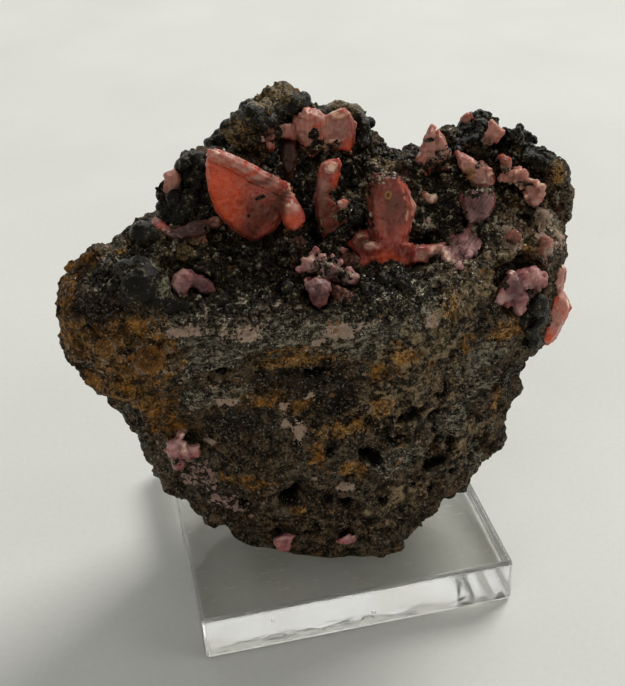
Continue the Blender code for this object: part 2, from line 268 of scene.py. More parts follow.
class Bench:
    """A node tree in the making."""

    def __init__(self, tree):
        self.tree = tree

    def add(self, kind, settings=None, inputs=None, output=0):
        """Add a node: its settings first, then its inputs as values or wires."""
        node = self.tree.nodes.new(kind)
        for name, value in (settings or {}).items():
            setattr(node, name, value)
        for name, value in (inputs or {}).items():
            if isinstance(value, Wire):
                self.tree.links.new(value.socket, node.inputs[name])
            else:
                node.inputs[name].default_value = value
        return Wire(self, node.outputs[output])

    def maths(self, operation, first, second=0.0):
        """A Math node on two numbers."""
        return self.add("ShaderNodeMath", {"operation": operation}, {0: first, 1: second})

    def vector(self, operation, first, second):
        """Vector Math on two vectors."""
        return self.add("ShaderNodeVectorMath", {"operation": operation}, {0: first, 1: second})

    def scaled(self, vector, factor):
        """A vector times a number."""
        return self.add("ShaderNodeVectorMath", {"operation": "SCALE"}, {0: vector, "Scale": factor})

    def along(self, vector, direction):
        """How far a vector reaches along a direction."""
        return self.add("ShaderNodeVectorMath", {"operation": "DOT_PRODUCT"}, {0: vector, 1: direction}, 1)

    def part(self, vector, axis):
        """A vector's X, Y or Z."""
        return self.add("ShaderNodeSeparateXYZ", None, {0: vector}, axis)

    def rise(self, value, low, high):
        """0 below low, 1 above high, and an even curve between them."""
        limits = {"Value": value, "From Min": low, "From Max": high}
        return self.add("ShaderNodeMapRange", {"interpolation_type": "SMOOTHSTEP"}, limits)

    def noise(self, place, size, detail=2.0, roughness=0.5, distortion=0.0):
        """Soft noise, 0 to 1, whose lumps are about size millimetres wide."""
        given = {"Vector": place, "Scale": A_METRE / size, "Detail": detail}
        return self.add(
            "ShaderNodeTexNoise",
            None,
            given | {"Roughness": roughness, "Distortion": distortion},
        )

    def shaken(self, place, scale, reach):
        """A place moved a little, each way by noise of its own."""
        wobble = self.add("ShaderNodeTexNoise", None, {"Vector": place, "Scale": scale}, "Color")
        return self.vector("ADD", place, self.scaled(wobble, reach))

    def cells(self, place, size, output="Distance"):
        """Scattered cells about size millimetres wide: how far each point is from its cell's middle."""
        given = {"Vector": place, "Scale": A_METRE / size}
        return self.add("ShaderNodeTexVoronoi", None, given, output)

    def facets(self, place, size):
        """Heights of small planes that each tilt their own way, as broken crystal has."""
        luck = self.cells(place, size, "Color")
        tilt = self.vector("SUBTRACT", luck, (0.5, 0.5, 0.5))
        arm = self.vector("SUBTRACT", place, luck.other("Position"))
        return self.along(tilt, arm) * A_METRE


# %% [markdown]
# ## Growing things with Geometry Nodes
#
# The rock's relief, the crystals' growth steps and the thousands of goethite beads all repeat by a
# rule, so each is one Geometry Nodes tree with named inputs. Its inputs are set by their identifiers
# before the tree first runs, and then the result is kept as a plain mesh.

# %% The bench for trees
FULL_TURN = 6.28


class Grower(Bench):
    """A Geometry Nodes tree that takes a mesh and named sizes and gives a mesh."""

    def __init__(self, name, sizes):
        super().__init__(bpy.data.node_groups.new(name, "GeometryNodeTree"))
        face = self.tree.interface
        face.new_socket(name="Mesh", in_out="INPUT", socket_type="NodeSocketGeometry")
        self.identifiers = {}
        kinds = {str: "String", int: "Int", float: "Float", tuple: "Vector", bpy.types.Material: "Material"}
        for label, value in sizes.items():
            kind = "NodeSocket" + kinds[type(value)]
            socket = face.new_socket(name=label, in_out="INPUT", socket_type=kind)
            socket.default_value = value
            self.identifiers[label] = socket.identifier
        face.new_socket(name="Mesh", in_out="OUTPUT", socket_type="NodeSocketGeometry")
        self.door = self.tree.nodes.new("NodeGroupInput")
        self.where = self.add("GeometryNodeInputPosition")

    def given(self, label):
        """The wire of a named input."""
        return Wire(self, self.door.outputs[label])

    def attribute(self, name):
        """A named share that was painted on the mesh."""
        return self.add("GeometryNodeInputNamedAttribute", {"data_type": "FLOAT"}, {"Name": name})

    def softened(self):
        """The given mesh with its corners' places blurred."""
        given = {"Value": self.where, "Iterations": self.given("Blur")}
        calm = self.add("GeometryNodeBlurAttribute", {"data_type": "FLOAT_VECTOR"}, given)
        return self.add("GeometryNodeSetPosition", None, {"Geometry": self.given("Mesh"), "Position": calm})

    def pushed(self, mesh, height):
        """The mesh with its skin pushed out by a height in millimetres."""
        shift = self.scaled(self.add("GeometryNodeInputNormal"), height * MM)
        return self.add("GeometryNodeSetPosition", None, {"Geometry": mesh, "Offset": shift})

    def noted(self, mesh, name, value, domain="POINT"):
        """The mesh with a value stored on it for its finish."""
        given = {"Geometry": mesh, "Name": name, "Value": value}
        return self.add("GeometryNodeStoreNamedAttribute", {"data_type": "FLOAT", "domain": domain}, given)

    def luck(self, seed):
        """A random number from 0 to 1 for each point."""
        return self.add("FunctionNodeRandomValue", None, {2: 0.0, 3: 1.0, "Seed": seed}, 1)

    def three_lucks(self, seed, low, high):
        """A random vector for each point."""
        given = {0: low, 1: high, "Seed": seed}
        return self.add("FunctionNodeRandomValue", {"data_type": "FLOAT_VECTOR"}, given)

    def balls_on(self, points, radius, widest, seed):
        """A squashed ball on each point, turned its own way, as real faces."""
        flat = 1 - self.given("Flatness")
        thin = self.add("ShaderNodeCombineXYZ", None, {0: flat, 1: flat, 2: flat})
        squash = self.three_lucks(seed, thin, (widest, widest, widest))
        turn = self.three_lucks(5, (0, 0, 0), (FULL_TURN, FULL_TURN, FULL_TURN))
        ball = self.add(
            "GeometryNodeMeshIcoSphere",
            None,
            {"Radius": 1.0, "Subdivisions": self.given("Rounds")},
        )
        balls = self.add("GeometryNodeInstanceOnPoints", None, {
            "Points": points, "Instance": ball, "Rotation": turn, "Scale": self.scaled(squash, radius),
        })
        toned = self.noted(balls, "tone", self.luck(9), "INSTANCE")
        return self.add("GeometryNodeRealizeInstances", None, {"Geometry": toned})

    def deliver(self, mesh):
        """Give the tree's result the finish that the tree was given."""
        coated = self.add(
            "GeometryNodeSetMaterial",
            None,
            {"Geometry": mesh, "Material": self.given("Finish")},
        )
        way_out = self.tree.nodes.new("NodeGroupOutput")
        self.tree.links.new(coated.socket, way_out.inputs[0])

    def run(self, piece, **sizes):
        """Run the tree on a piece and keep the result."""
        modifier = piece.modifiers.new(self.tree.name, "NODES")
        modifier.node_group = self.tree
        for label, value in sizes.items():
            modifier[self.identifiers[label]] = value
        return settle(piece)


# %% [markdown]
# ## How a finish is made
#
# A finish is one Principled shader. What stays the same all over, such as how clear the acrylic is, is
# set on the shader itself. What changes from place to place reads the object's own coordinates, so that
# a pattern stays on the stone when the piece is turned.

# %% The bench for finishes


def tint(red, green, blue):
    """A colour given as a paint chip's 0 to 255 numbers, as the shader wants it."""
    linear = []
    for part in (red, green, blue):
        share = part / 255
        linear.append(share / 12.92 if share <= 0.04045 else ((share + 0.055) / 1.055) ** 2.4)
    return (*linear, 1.0)


class Finish(Bench):
    """A material with one Principled shader."""

    def __init__(self, name, constants):
        self.name = name
        self.material = bpy.data.materials.new(name)
        self.material.use_nodes = True
        super().__init__(self.material.node_tree)
        self.shader = self.tree.nodes["Principled BSDF"]
        for label, value in constants.items():
            self.shader.inputs[label].default_value = value
        self.place = self.add("ShaderNodeTexCoord", output="Object")

    def mix(self, share, first, second):
        """From the first colour at 0 to the second at 1."""
        return self.add("ShaderNodeMix", {"data_type": "RGBA"}, {0: share, 6: first, 7: second}, 2)

    def shades(self, value, low, high, first, second):
        """One tint where a value is low, running to another where it is high."""
        return self.mix(self.rise(value, low, high), tint(*first), tint(*second))

    def lay(self, share, colour):
        """Lay a colour over those that are there already."""
        self.colour = self.mix(share, self.colour, colour)

    def attribute(self, name):
        """A share that was painted on the piece."""
        return self.add("ShaderNodeAttribute", {"attribute_name": name}, output="Fac")

    def ragged(self, name, size, wander=1.2, edge=0.06):
        """A painted share with a ragged rim, as a stain or a crust has."""
        worn = self.attribute(name) + (self.noise(self.place, size, 4, 0.65) - 0.5) * wander
        return self.rise(worn, 0.5 - edge, 0.5 + edge)

    def feed(self, label, wire):
        """Wire a pattern to one of the shader's inputs."""
        self.tree.links.new(wire.socket, self.shader.inputs[label])

    def bump(self, height, depth, strength=1.0):
        """Raise the surface by a pattern times a depth in millimetres."""
        given = {"Height": height, "Distance": depth * MM, "Strength": strength}
        self.feed("Normal", self.add("ShaderNodeBump", None, given))


# %% Start the limonite
limonite = Finish("limonite", {
    "Specular IOR Level": 0.12, "Specular Tint": (1.0, 0.8, 0.55, 1.0), "Coat Roughness": 0.2,
})

# %% [markdown]
# ## The rock
#
# Limonite is a crumbly brown iron ore: rough at every scale, from lumps down to grit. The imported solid
# holds the main form. A voxel remesh gives it even quads of about two thirds of a millimetre, and the
# relief on top of them comes from a tree, so that one set of numbers shapes the whole rock.

# %% Remesh the rock and paint its areas
ROCK_QUAD = 0.7

rock = remesh(merged_copy("limonite_rock", "limonite_matrix"), ROCK_QUAD)
stone = Target(rock)
LEDGE = [
    (185, 330, 11, 5), (235, 338, 13, 5), (290, 335, 13, 6), (345, 330, 12, 6), (395, 335, 9, 6),
    (215, 365, 11, 4), (270, 362, 12, 4),
]
HOLLOW = [
    (289, 498, 2.2, 3.6), (369, 451, 2.4, 2.0), (417, 415, 5.0, 1.0), (436, 461, 3.4, 1.0),
    (414, 485, 1.1, 1.1),
    (430, 489, 0.8, 1.6), (385, 504, 1.4, 1.7), (317, 529, 0.9, 0.9), (80, 352, 0.9, 2.4),
    (470, 455, 1.5, 1.2),
    (345, 505, 2.2, 1.4), (400, 525, 1.6, 1.2), (455, 470, 1.5, 1.0), (330, 455, 1.2, 0.9),
    (245, 505, 1.4, 1.0),
    (220, 372, 1.6, 0.8), (318, 372, 3.0, 1.0), (400, 440, 2.2, 1.2),
]
DENTED = [
    (448, 134, 4, 4), (454, 138, 3, 4), (90, 253, 4, 3), (78, 266, 3, 3), (104, 246, 4, 3), (506, 120, 4, 4),
    (521, 385, 3, 6), (532, 356, 3, 5), (124, 412, 4, 4), (92, 380, 4, 3), (232, 534, 6, 3), (425, 522, 5, 3),
    (440, 506, 4, 3), (381, 140, 3, 4), (157, 191, 5, 8), (121, 236, 4, 3), (517, 412, 3, 5),
    (250, 548, 6, 3),
]
RAISED = [
    (155, 470, 4, 4), (163, 483, 4, 4), (218, 523, 4, 3), (389, 548, 4, 2.5), (468, 482, 3, 4),
    (146, 456, 3, 3),
]
PITTED = [
    (290, 500, 5, 8), (370, 445, 8, 6), (400, 470, 11, 6), (430, 440, 10, 9), (455, 490, 9, 8),
    (410, 520, 14, 7), (345, 520, 12, 6), (465, 430, 9, 9),
]
BEADED = [
    (390, 155, 5, 3), (402, 156, 5, 3), (480, 125, 7, 6), (520, 140, 10, 7), (545, 165, 7, 7),
    (460, 140, 5, 4), (352, 160, 4, 4), (365, 140, 3, 6), (192, 172, 4, 4), (553, 158, 4, 4),
    (561, 170, 2, 4),
    (538, 178, 4, 3),
]
DRUSY = [
    (365, 200, 3, 12), (352, 175, 5, 6), (425, 195, 6, 7), (430, 220, 8, 9), (355, 225, 5, 8),
    (505, 195, 6, 4),
    (440, 175, 8, 5), (300, 200, 5, 12), (290, 170, 6, 7), (508, 204, 6, 5), (450, 250, 6, 5),
    (325, 150, 5, 3),
    (475, 185, 5, 5), (325, 250, 8, 5), (545, 190, 4, 4), (488, 236, 4, 4), (235, 300, 12, 4),
    (300, 280, 10, 6),
    (400, 290, 12, 5), (190, 245, 9, 5), (112, 268, 6, 3), (275, 120, 6, 6), (345, 105, 6, 3),
]
AREAS = {
    "ledge": LEDGE, "pitted": PITTED, "hollow": HOLLOW, "dented": DENTED, "raised": RAISED, "beaded": BEADED,
    "drusy": DRUSY,
}
for area, spots in AREAS.items():
    paint(rock, stone, area, spots)
everywhere = rock.data.attributes.new("open", "FLOAT", "POINT")
everywhere.data.foreach_set("value", [1.0] * len(rock.data.vertices))
print("rock triangles:", triangles(rock))

# %% The tree that gives stone its relief
relief = Grower("stone relief", {
    "Blur": 3, "Lumps": 1.2, "Chunks": 1.3, "Crumbs": 0.9, "Grit": 0.5, "Layers": 0.45, "Pits": 2.6,
    "Foot": 13.0,
    "Finish": limonite.material,
})
where = relief.where
ledge = relief.attribute("ledge")
bent = relief.shaken(where, 300.0, 0.0018)
lumps = (relief.noise(where, 8, 3, 0.6) - 0.5) * relief.given("Lumps") * 2
blocks = relief.add(
    "ShaderNodeTexVoronoi", {"distance": "MANHATTAN"}, {"Vector": bent, "Scale": 240.0}, "Color",
)
chunks = (relief.part(blocks, "X") - 0.5) * relief.given("Chunks")
crumbs = (0.5 - relief.cells(bent, 2.3)) * relief.given("Crumbs") * 1.3
grit = (relief.noise(where, 1.5, 3, 0.75) - 0.5) * relief.given("Grit") * 3
height = relief.part(where, "Z") * A_METRE
layers = relief.maths("SINE", (height + relief.noise(where, 9, 2) * 5) * 2.4) * relief.given("Layers") * ledge
holes = relief.rise(relief.cells(bent, 5.0), 0.45, 0.2) * relief.rise(relief.noise(where, 5), 0.4, 0.52)
ragged = relief.attribute("hollow") + (relief.noise(where, 2.4, 2) - 0.5) * 0.5
sunk = holes * relief.rise(relief.attribute("pitted"), 0.1, 0.5) + relief.rise(ragged, 0.42, 0.7) * 1.2
pits = sunk * relief.given("Pits") * -1
raised = relief.rise(relief.attribute("raised"), 0.1, 0.7) * 1.3
dents = raised - relief.rise(relief.attribute("dented"), 0.1, 0.6) * 2.2
total = lumps * 0.6 + chunks * (1 - ledge) + crumbs + grit + layers + pits + dents
foot_fade = relief.rise(height - relief.given("Foot"), 0.2, 2.5)
rough = relief.pushed(relief.softened(), total * foot_fade)
relief.deliver(relief.noted(rough, "proud", chunks + crumbs + grit + pits))
relief.run(rock, Finish=limonite.material)
print("rock box in mm:", places(rock).min(0) / MM, places(rock).max(0) / MM)

# %% [markdown]
# ## The limonite's finish
#
# The stone is dark brown to black, with rust-yellow ochre, slate-grey layers on the ledge, tan streaks,
# and thin flakes of pale pink carbonate. Each is a colour laid over the last through a ragged mask, the
# way the minerals grew over each other. Light is painted into the colour as well: painted shade in the
# pocket, the low places and the pits, and painted highlights on what stands proud and as glints. A fine
# bump stands for grit below the size of the mesh.

# %% Paint the rock's colours
OCHRE = [
    (72, 262, 4, 5), (66, 300, 3, 7), (84, 252, 5, 3), (102, 246, 5, 2), (70, 345, 5, 7),
    (105, 350, 5, 5), (128, 372, 6, 7), (98, 388, 6, 7), (150, 402, 6, 6), (120, 330, 8, 3),
    (150, 360, 6, 6), (165, 425, 5, 5), (245, 482, 7, 1.8), (285, 350, 7, 1.6), (305, 362, 7, 2),
    (383, 372, 3, 2), (408, 356, 4, 2), (505, 332, 5, 3), (470, 345, 3, 2), (385, 405, 3, 1.5),
    (345, 430, 5, 1.8), (318, 455, 2, 4), (300, 405, 4, 2), (265, 398, 5, 3), (515, 205, 3, 4),
    (545, 190, 2, 4), (497, 400, 2, 4), (350, 470, 3, 2), (300, 512, 1.5, 2), (478, 172, 2, 1),
]
SLATE = [
    (190, 330, 10, 4), (240, 337, 12, 5), (290, 335, 12, 5), (340, 327, 12, 5), (385, 325, 8, 5),
    (215, 362, 9, 4), (345, 352, 10, 3), (150, 262, 3, 4), (165, 285, 4, 3), (480, 355, 10, 5),
    (530, 215, 3, 6), (548, 250, 2, 5), (505, 262, 4, 2),
    (490, 230, 2, 4), (555, 225, 2, 5), (240, 395, 6, 3), (200, 400, 6, 3), (440, 300, 6, 5),
    (400, 460, 7, 4),
    (455, 425, 5, 6), (480, 390, 4, 5), (475, 462, 3, 5),
]
PALE = [
    (512, 236, 3, 3), (545, 240, 2.5, 3.5), (545, 215, 2, 3), (560, 235, 1.2, 3), (432, 320, 2, 1),
    (318, 343, 2, 0.8),
    (267, 309, 3.4, 1.2), (240, 327, 4.4, 2.2), (190, 329, 4, 1.6), (252, 337, 2.4, 1), (341, 332, 3.4, 2),
    (371, 323, 2.6, 1), (214, 388, 1.3, 1), (224, 402, 2.4, 1.2), (283, 405, 1.2, 1.4), (299, 432, 1.4, 2.2),
    (285, 423, 1.2, 1), (310, 395, 1, 1), (345, 488, 2.0, 1.3), (210, 440, 1.6, 1.2), (212, 480, 1.4, 1.0),
]
TAN = [
    (445, 330, 4, 4), (462, 302, 5, 4), (478, 277, 5, 4), (497, 255, 4, 4), (508, 235, 4, 4),
    (530, 240, 4, 5), (545, 225, 3, 5), (515, 215, 4, 4), (340, 432, 5, 1.6), (370, 395, 3, 1.4),
    (430, 360, 10, 8), (420, 400, 10, 6), (470, 440, 6, 6), (400, 500, 7, 4), (275, 92, 4, 2),
    (284, 88, 3, 2), (262, 101, 3, 1.6), (345, 102, 4, 2),
    (228, 140, 4, 2), (238, 127, 3, 2), (384, 160, 3, 2), (190, 242, 5, 2.4), (176, 250, 4, 1.6),
]
GOLD = [
    (122, 248, 3.4, 2.0), (114, 252, 2, 1.2), (270, 98, 2.6, 1.2), (345, 432, 4.2, 1.0),
    (383, 405, 2.2, 1.2), (433, 364, 1.1, 1.1),
    (105, 350, 2.0, 2.4), (452, 305, 2.0, 4.0), (285, 362, 6, 1.0), (303, 512, 1.0, 1.4),
    (505, 334, 2.0, 1.2),
    (402, 355, 1.6, 2.0), (128, 405, 3, 2.0), (380, 415, 3, 1.0), (512, 206, 1.0, 2.6), (526, 248, 1.8, 1.8),
    (559, 178, 1.4, 3), (463, 196, 0.8, 1.4), (497, 400, 1.2, 2.4), (352, 470, 1.4, 0.8),
]
# Black places and painted shade: the pocket and some low places on the front face, where the stone is partly
# black of its own and partly darkened as painted shade.
BLACK_AND_SHADE = [
    (298, 200, 4, 9), (262, 255, 13, 4), (300, 262, 10, 5), (228, 246, 7, 5), (310, 240, 5, 6),
    (190, 195, 4, 6),
    (285, 165, 5, 5), (350, 240, 3, 6), (385, 283, 7, 3.4), (340, 297, 3.5, 3), (250, 290, 10, 4),
    (95, 310, 9, 5),
    (455, 205, 3.5, 4), (240, 425, 7, 4), (330, 400, 6, 4), (300, 385, 12, 4), (510, 380, 6, 6),
    (120, 290, 8, 5),
]
CLOTS = [
    (188, 478, 2.6, 3), (200, 472, 3, 4), (206, 488, 3, 4), (222, 502, 4, 3), (234, 508, 3, 2),
    (214, 496, 3, 2),
]
BULBS = [(105, 350, 2.2, 2.8), (148, 360, 4.2, 3.2), (433, 364, 1.1, 1.2), (283, 346, 1.4, 0.8)]
ROSY = [
    (286, 176, 1.6, 2), (268, 132, 1.4, 1.6), (300, 246, 2, 3.4), (298, 228, 1.2, 2), (206, 236, 3, 1),
    (410, 172, 2.2, 1.6), (344, 262, 3, 2), (296, 262, 1.6, 2), (352, 262, 2, 1.6), (338, 290, 3, 2),
    (519, 226, 2.6, 1.4), (544, 236, 1.6, 4), (556, 205, 1, 3), (548, 262, 1.6, 2.4), (528, 256, 2, 1.6),
]
STAINS_AND_SHADE = {
    "clots": CLOTS, "bulb": BULBS, "gold": GOLD, "black_and_shade": BLACK_AND_SHADE, "ochre": OCHRE, "slate": SLATE, "pale": PALE,
    "tan": TAN, "rosy": ROSY,
}
for stain, spots in STAINS_AND_SHADE.items():
    paint(rock, stone, stain, spots)

# %% Mix the limonite's body
spot = limonite.place
grain = limonite.noise(spot, 0.7, 6, 0.8, 0.5)
crumb = limonite.noise(spot, 2.2, 4, 0.7)
broad = limonite.noise(spot, 11, 3, 0.6)
patch = limonite.noise(spot, 3.2, 5, 0.7)
flat_spot = limonite.add("ShaderNodeMapping", None, {"Vector": spot, "Scale": (1, 1, 3)})
streak = limonite.noise(flat_spot, 2.4, 4, 0.75)
proud = limonite.attribute("proud")
limonite.colour = limonite.shades(crumb, 0.4, 0.6, (60, 46, 30), (112, 92, 68))
limonite.lay(limonite.rise(broad, 0.48, 0.62) * 0.6, tint(106, 97, 80))
limonite.lay(limonite.rise(limonite.noise(spot, 4, 4, 0.75), 0.55, 0.66) * 0.55, tint(120, 74, 28))

# %% Lay on the slate, the tan, the ochre and the gold
slate_colour = limonite.shades(streak, 0.42, 0.6, (60, 53, 40), (176, 166, 142))
limonite.lay(limonite.ragged("slate", 3) * 0.85, slate_colour)
tan_colour = limonite.shades(crumb, 0.4, 0.6, (98, 82, 58), (176, 150, 112))
limonite.lay(limonite.ragged("tan", 2.2, 1.6) * 0.75, tan_colour)
ochre_colour = limonite.shades(patch, 0.4, 0.6, (76, 48, 16), (192, 128, 44))
ochre_colour = limonite.mix(limonite.rise(grain, 0.54, 0.66) * 0.5, ochre_colour, tint(204, 160, 90))
ochre_colour = limonite.mix(limonite.rise(crumb, 0.52, 0.4) * 0.6, ochre_colour, tint(48, 32, 14))
limonite.lay(limonite.ragged("ochre", 1.6, 1.8, 0.2) * 0.85, ochre_colour)
gold_colour = limonite.shades(grain, 0.42, 0.6, (126, 80, 32), (214, 166, 98))
limonite.lay(limonite.ragged("gold", 1.4, 1.5, 0.16) * 0.9, gold_colour)

# %% Darken its gaps, paint shade into its hollows and the pocket, and paint highlights on what stands proud
gaps = limonite.rise(grain + (crumb - 0.5) * 0.7 - proud * 0.06, 0.58, 0.38)
limonite.lay(gaps * (1 - limonite.ragged("ochre", 2.2, 1.9) * 0.45) * 0.9, tint(8, 6, 4))
# Painted shade: the pits and hollows where the relief sank the surface are laid near black.
limonite.lay(limonite.rise(proud, -0.1, -1.2) * 0.95, tint(4, 3, 2))
# Painted highlight: the bits that stand proud are lightened.
limonite.lay(limonite.rise(proud, 0.3, 1.1) * limonite.rise(grain, 0.5, 0.6) * 0.4, tint(150, 128, 96))
# Painted shade over stone that is partly black: the listed pocket and low places are laid near black.
limonite.lay(limonite.ragged("black_and_shade", 3, 1.5, 0.2) * 0.75, tint(10, 8, 6))

# %% Lay on the pink, the pale flakes, the chips and the clots
rosy_colour = limonite.shades(crumb, 0.42, 0.6, (74, 46, 38), (150, 104, 88))
limonite.lay(limonite.ragged("rosy", 1.4, 1.3, 0.1) * 0.8, rosy_colour)
flake = limonite.ragged("pale", 1.4, 1.9, 0.04) * limonite.rise(limonite.noise(spot, 0.6, 2), 0.31, 0.35)
limonite.lay(flake, limonite.mix(limonite.noise(spot, 1.4), tint(156, 132, 110), tint(208, 178, 158)))
chip_place = limonite.shaken(spot, 900.0, 0.0012)
chosen = limonite.rise(limonite.part(limonite.cells(chip_place, 2.4, "Color"), "Y"), 0.86, 0.88)
chips = limonite.rise(limonite.cells(chip_place, 2.4), 0.3, 0.24) * chosen
limonite.lay(chips * 0.8, limonite.shades(patch, 0.48, 0.52, (150, 104, 54), (178, 152, 134)))
grains = limonite.rise(limonite.cells(spot, 1.5), 0.55, 0.45) * limonite.ragged("clots", 2, 1.4)
limonite.lay(limonite.ragged("clots", 2, 1.2) * 0.7, tint(14, 11, 9))
limonite.lay(grains * limonite.rise(patch, 0.4, 0.5), tint(176, 142, 130))

# %% Draw the ochre bulbs with their rims
bulb = limonite.attribute("bulb") + (patch - 0.5) * 0.7
bulb_colour = limonite.shades(bulb + (grain - 0.5) * 0.6, 0.55, 0.85, (156, 104, 50), (84, 52, 24))
limonite.lay(limonite.rise(bulb, 0.5, 0.62) * 0.6, bulb_colour)
rim = limonite.rise(bulb, 0.36, 0.44) * limonite.rise(bulb, 0.56, 0.5)
limonite.lay(rim * 0.75, limonite.shades(crumb, 0.5, 0.56, (20, 13, 7), (160, 146, 120)))

# %% Lay on the druse, the pores and the glints
speck = limonite.part(limonite.cells(spot, 0.55, "Color"), "X")
speck = speck * 0.4 + limonite.noise(spot, 2.4, 3, 0.6) * 1.9 - 0.74
speck_colour = limonite.shades(speck, 0.6, 0.68, (88, 76, 50), (196, 188, 166))
speck_colour = limonite.mix(limonite.rise(speck, 0.5, 0.42), speck_colour, tint(8, 7, 6))
limonite.lay(limonite.ragged("drusy", 1.5, 1.6) * 0.8, speck_colour)
pores = limonite.rise(limonite.noise(spot, 0.9, 5, 0.75), 0.46, 0.4) * (1 - flake)
limonite.lay(pores * 0.75, tint(8, 6, 4))
# Painted glints: pale specks in the base colour stand for highlights on the grit, most of all on the slate
# ledge.
glints = limonite.rise(limonite.noise(spot, 0.55, 3, 0.65), 0.58, 0.66)
glints = glints * limonite.rise(patch, 0.4, 0.55) * (0.45 + limonite.ragged("slate", 3) * 0.5)
limonite.lay(glints, tint(200, 196, 176))
limonite.feed("Base Color", limonite.colour)
limonite.feed("Roughness", 0.8 - limonite.rise(grain, 0.5, 0.65) * 0.25)
limonite.feed("Coat Weight", limonite.rise(limonite.noise(spot, 0.6, 2, 0.6), 0.56, 0.64) * 0.8)
limonite.bump(grain + crumb * 1.5 + limonite.facets(spot, 1.1) * 0.7, 0.8)
print("limonite nodes:", len(limonite.tree.nodes))

# %% [markdown]
# ## Goethite beads and knobs
#
# Goethite grows as black, shiny, rounded knobs in crowds. A few dozen large ones are placed one by one,
# because they make the outline of the crest. The thousands of small ones are scattered by a tree where
# the rock was painted for them. Each bead has only a few dozen faces.

# %% Mix the goethite
goethite = Finish("goethite", {"Specular IOR Level": 0.17, "Specular Tint": (1.0, 0.95, 0.82, 1.0)})
spot = goethite.place
mottle = goethite.noise(spot, 2.2, 4, 0.7)
dust = goethite.noise(spot, 0.7, 4, 0.7)
goethite.colour = goethite.shades(mottle, 0.45, 0.65, (4, 4, 3), (29, 27, 18))
goethite.lay(goethite.rise(dust + (mottle - 0.5) * 0.7, 0.58, 0.68) * 0.6, tint(126, 114, 86))
crust_colour = goethite.shades(dust, 0.4, 0.6, (52, 44, 28), (166, 138, 92))
goethite.lay(goethite.ragged("tan", 1.2, 1.8, 0.25) * 0.6, crust_colour)
rosy_colour = goethite.shades(dust, 0.42, 0.6, (66, 38, 32), (140, 92, 76))
goethite.lay(goethite.ragged("rosy", 1.4, 1.3, 0.1) * 0.8, rosy_colour)
shell_colour = goethite.shades(dust, 0.4, 0.6, (40, 42, 32), (140, 134, 108))
goethite.lay(goethite.ragged("shell", 1.4, 1.2, 0.15) * 0.8, shell_colour)
goethite.feed("Base Color", goethite.colour)
goethite.feed("Roughness", 0.08 + goethite.rise(dust, 0.5, 0.64) * 0.4)
goethite.bump(dust * 0.7 + mottle + goethite.facets(spot, 1.4) * 0.4, 0.4)
print("goethite nodes:", len(goethite.tree.nodes))

# %% Mix the druse of small grains
druse = Finish("druse", {"Specular IOR Level": 0.3, "Specular Tint": (1.0, 0.88, 0.7, 1.0)})
tone = druse.attribute("tone") * 0.4 + druse.noise(druse.place, 2.4, 3, 0.6) * 1.9 - 0.74
# The druse is darker in the same places: partly its own black, partly painted shade.
tone = tone + druse.attribute("tan") * 0.3 - druse.attribute("black_and_shade") * 0.4
druse.colour = druse.shades(tone, 0.44, 0.52, (8, 7, 6), (88, 76, 50))
druse.lay(druse.rise(tone, 0.58, 0.62), tint(146, 134, 106))
druse.lay(druse.rise(tone, 0.73, 0.75), tint(194, 186, 166))
druse.lay(druse.rise(tone, 0.86, 0.87), tint(176, 128, 116))
druse.lay(druse.rise(druse.noise(druse.place, 0.5, 3, 0.7), 0.42, 0.62) * 0.55, tint(12, 10, 7))
druse.feed("Base Color", druse.colour)
druse.feed("Roughness", 0.25 + druse.noise(druse.place, 1.5) * 0.4)
druse.bump(druse.noise(druse.place, 0.4), 0.15)
print("druse nodes:", len(druse.tree.nodes))

# %% The tree that scatters beads
DENSEST = 2000000

beads = Grower("scattered beads", {
    "Where": "beaded", "Spacing": 1.2, "Smallest": 0.4, "Largest": 1.1, "Sink": 0.1, "Flatness": 0.3,
    "Uneven": 0.3, "Seed": 1, "Rounds": 2, "Finish": goethite.material,
})
spacing = beads.given("Spacing")
share = beads.add("GeometryNodeInputNamedAttribute", {"data_type": "FLOAT"}, {"Name": beads.given("Where")})
crowd = beads.add("GeometryNodeDistributePointsOnFaces", {"distribute_method": "POISSON"}, {
    "Mesh": beads.given("Mesh"), "Distance Min": spacing * MM, "Density Max": DENSEST / (spacing * spacing),
    "Density Factor": beads.rise(share, 0.3, 0.6), "Seed": beads.given("Seed"),
})
by_luck = beads.luck(beads.given("Seed"))
span = beads.given("Largest") - beads.given("Smallest")
radius = (beads.given("Smallest") + span * by_luck * by_luck) * MM
inward = beads.scaled(crowd.other("Normal"), radius * beads.given("Sink") * -1)
seated = beads.add("GeometryNodeSetPosition", None, {"Geometry": crowd, "Offset": inward})
bulge = (beads.noise(beads.where, 1.6, 2) - 0.5) * beads.given("Uneven") * 2
beads.deliver(beads.pushed(beads.balls_on(seated, radius, 1.1, 6), bulge))
print("bead tree nodes:", len(beads.tree.nodes))

# %% Scatter the beads and the druse


def dressed(name, host, finish, smooth, **sizes):
    """Scatter beads over a host and give them a finish of their own."""
    piece = new_piece(name, host.data.copy())
    piece.data.materials.clear()
    beads.run(piece, Finish=finish.material, **sizes)
    piece.data.polygons.foreach_set("use_smooth", [smooth] * len(piece.data.polygons))
    print(name, "triangles:", triangles(piece))
    return piece


rock_beads = dressed("goethite_beads", rock, goethite, True, Spacing=1.1, Smallest=0.4, Largest=1.2)
rock_druse = dressed(
    "druse_grains", rock, druse, False, Where="drusy", Spacing=0.75, Smallest=0.22, Largest=1.1, Rounds=1,
    Flatness=0.7, Uneven=0.5, Seed=2,
)
rock_crumbs = dressed(
    "limonite_crumbs", rock, limonite, False, Where="open", Spacing=2.2, Smallest=0.4, Largest=1.2, Rounds=1,
    Sink=0.55, Flatness=0.6, Uneven=0.5, Seed=3,
)

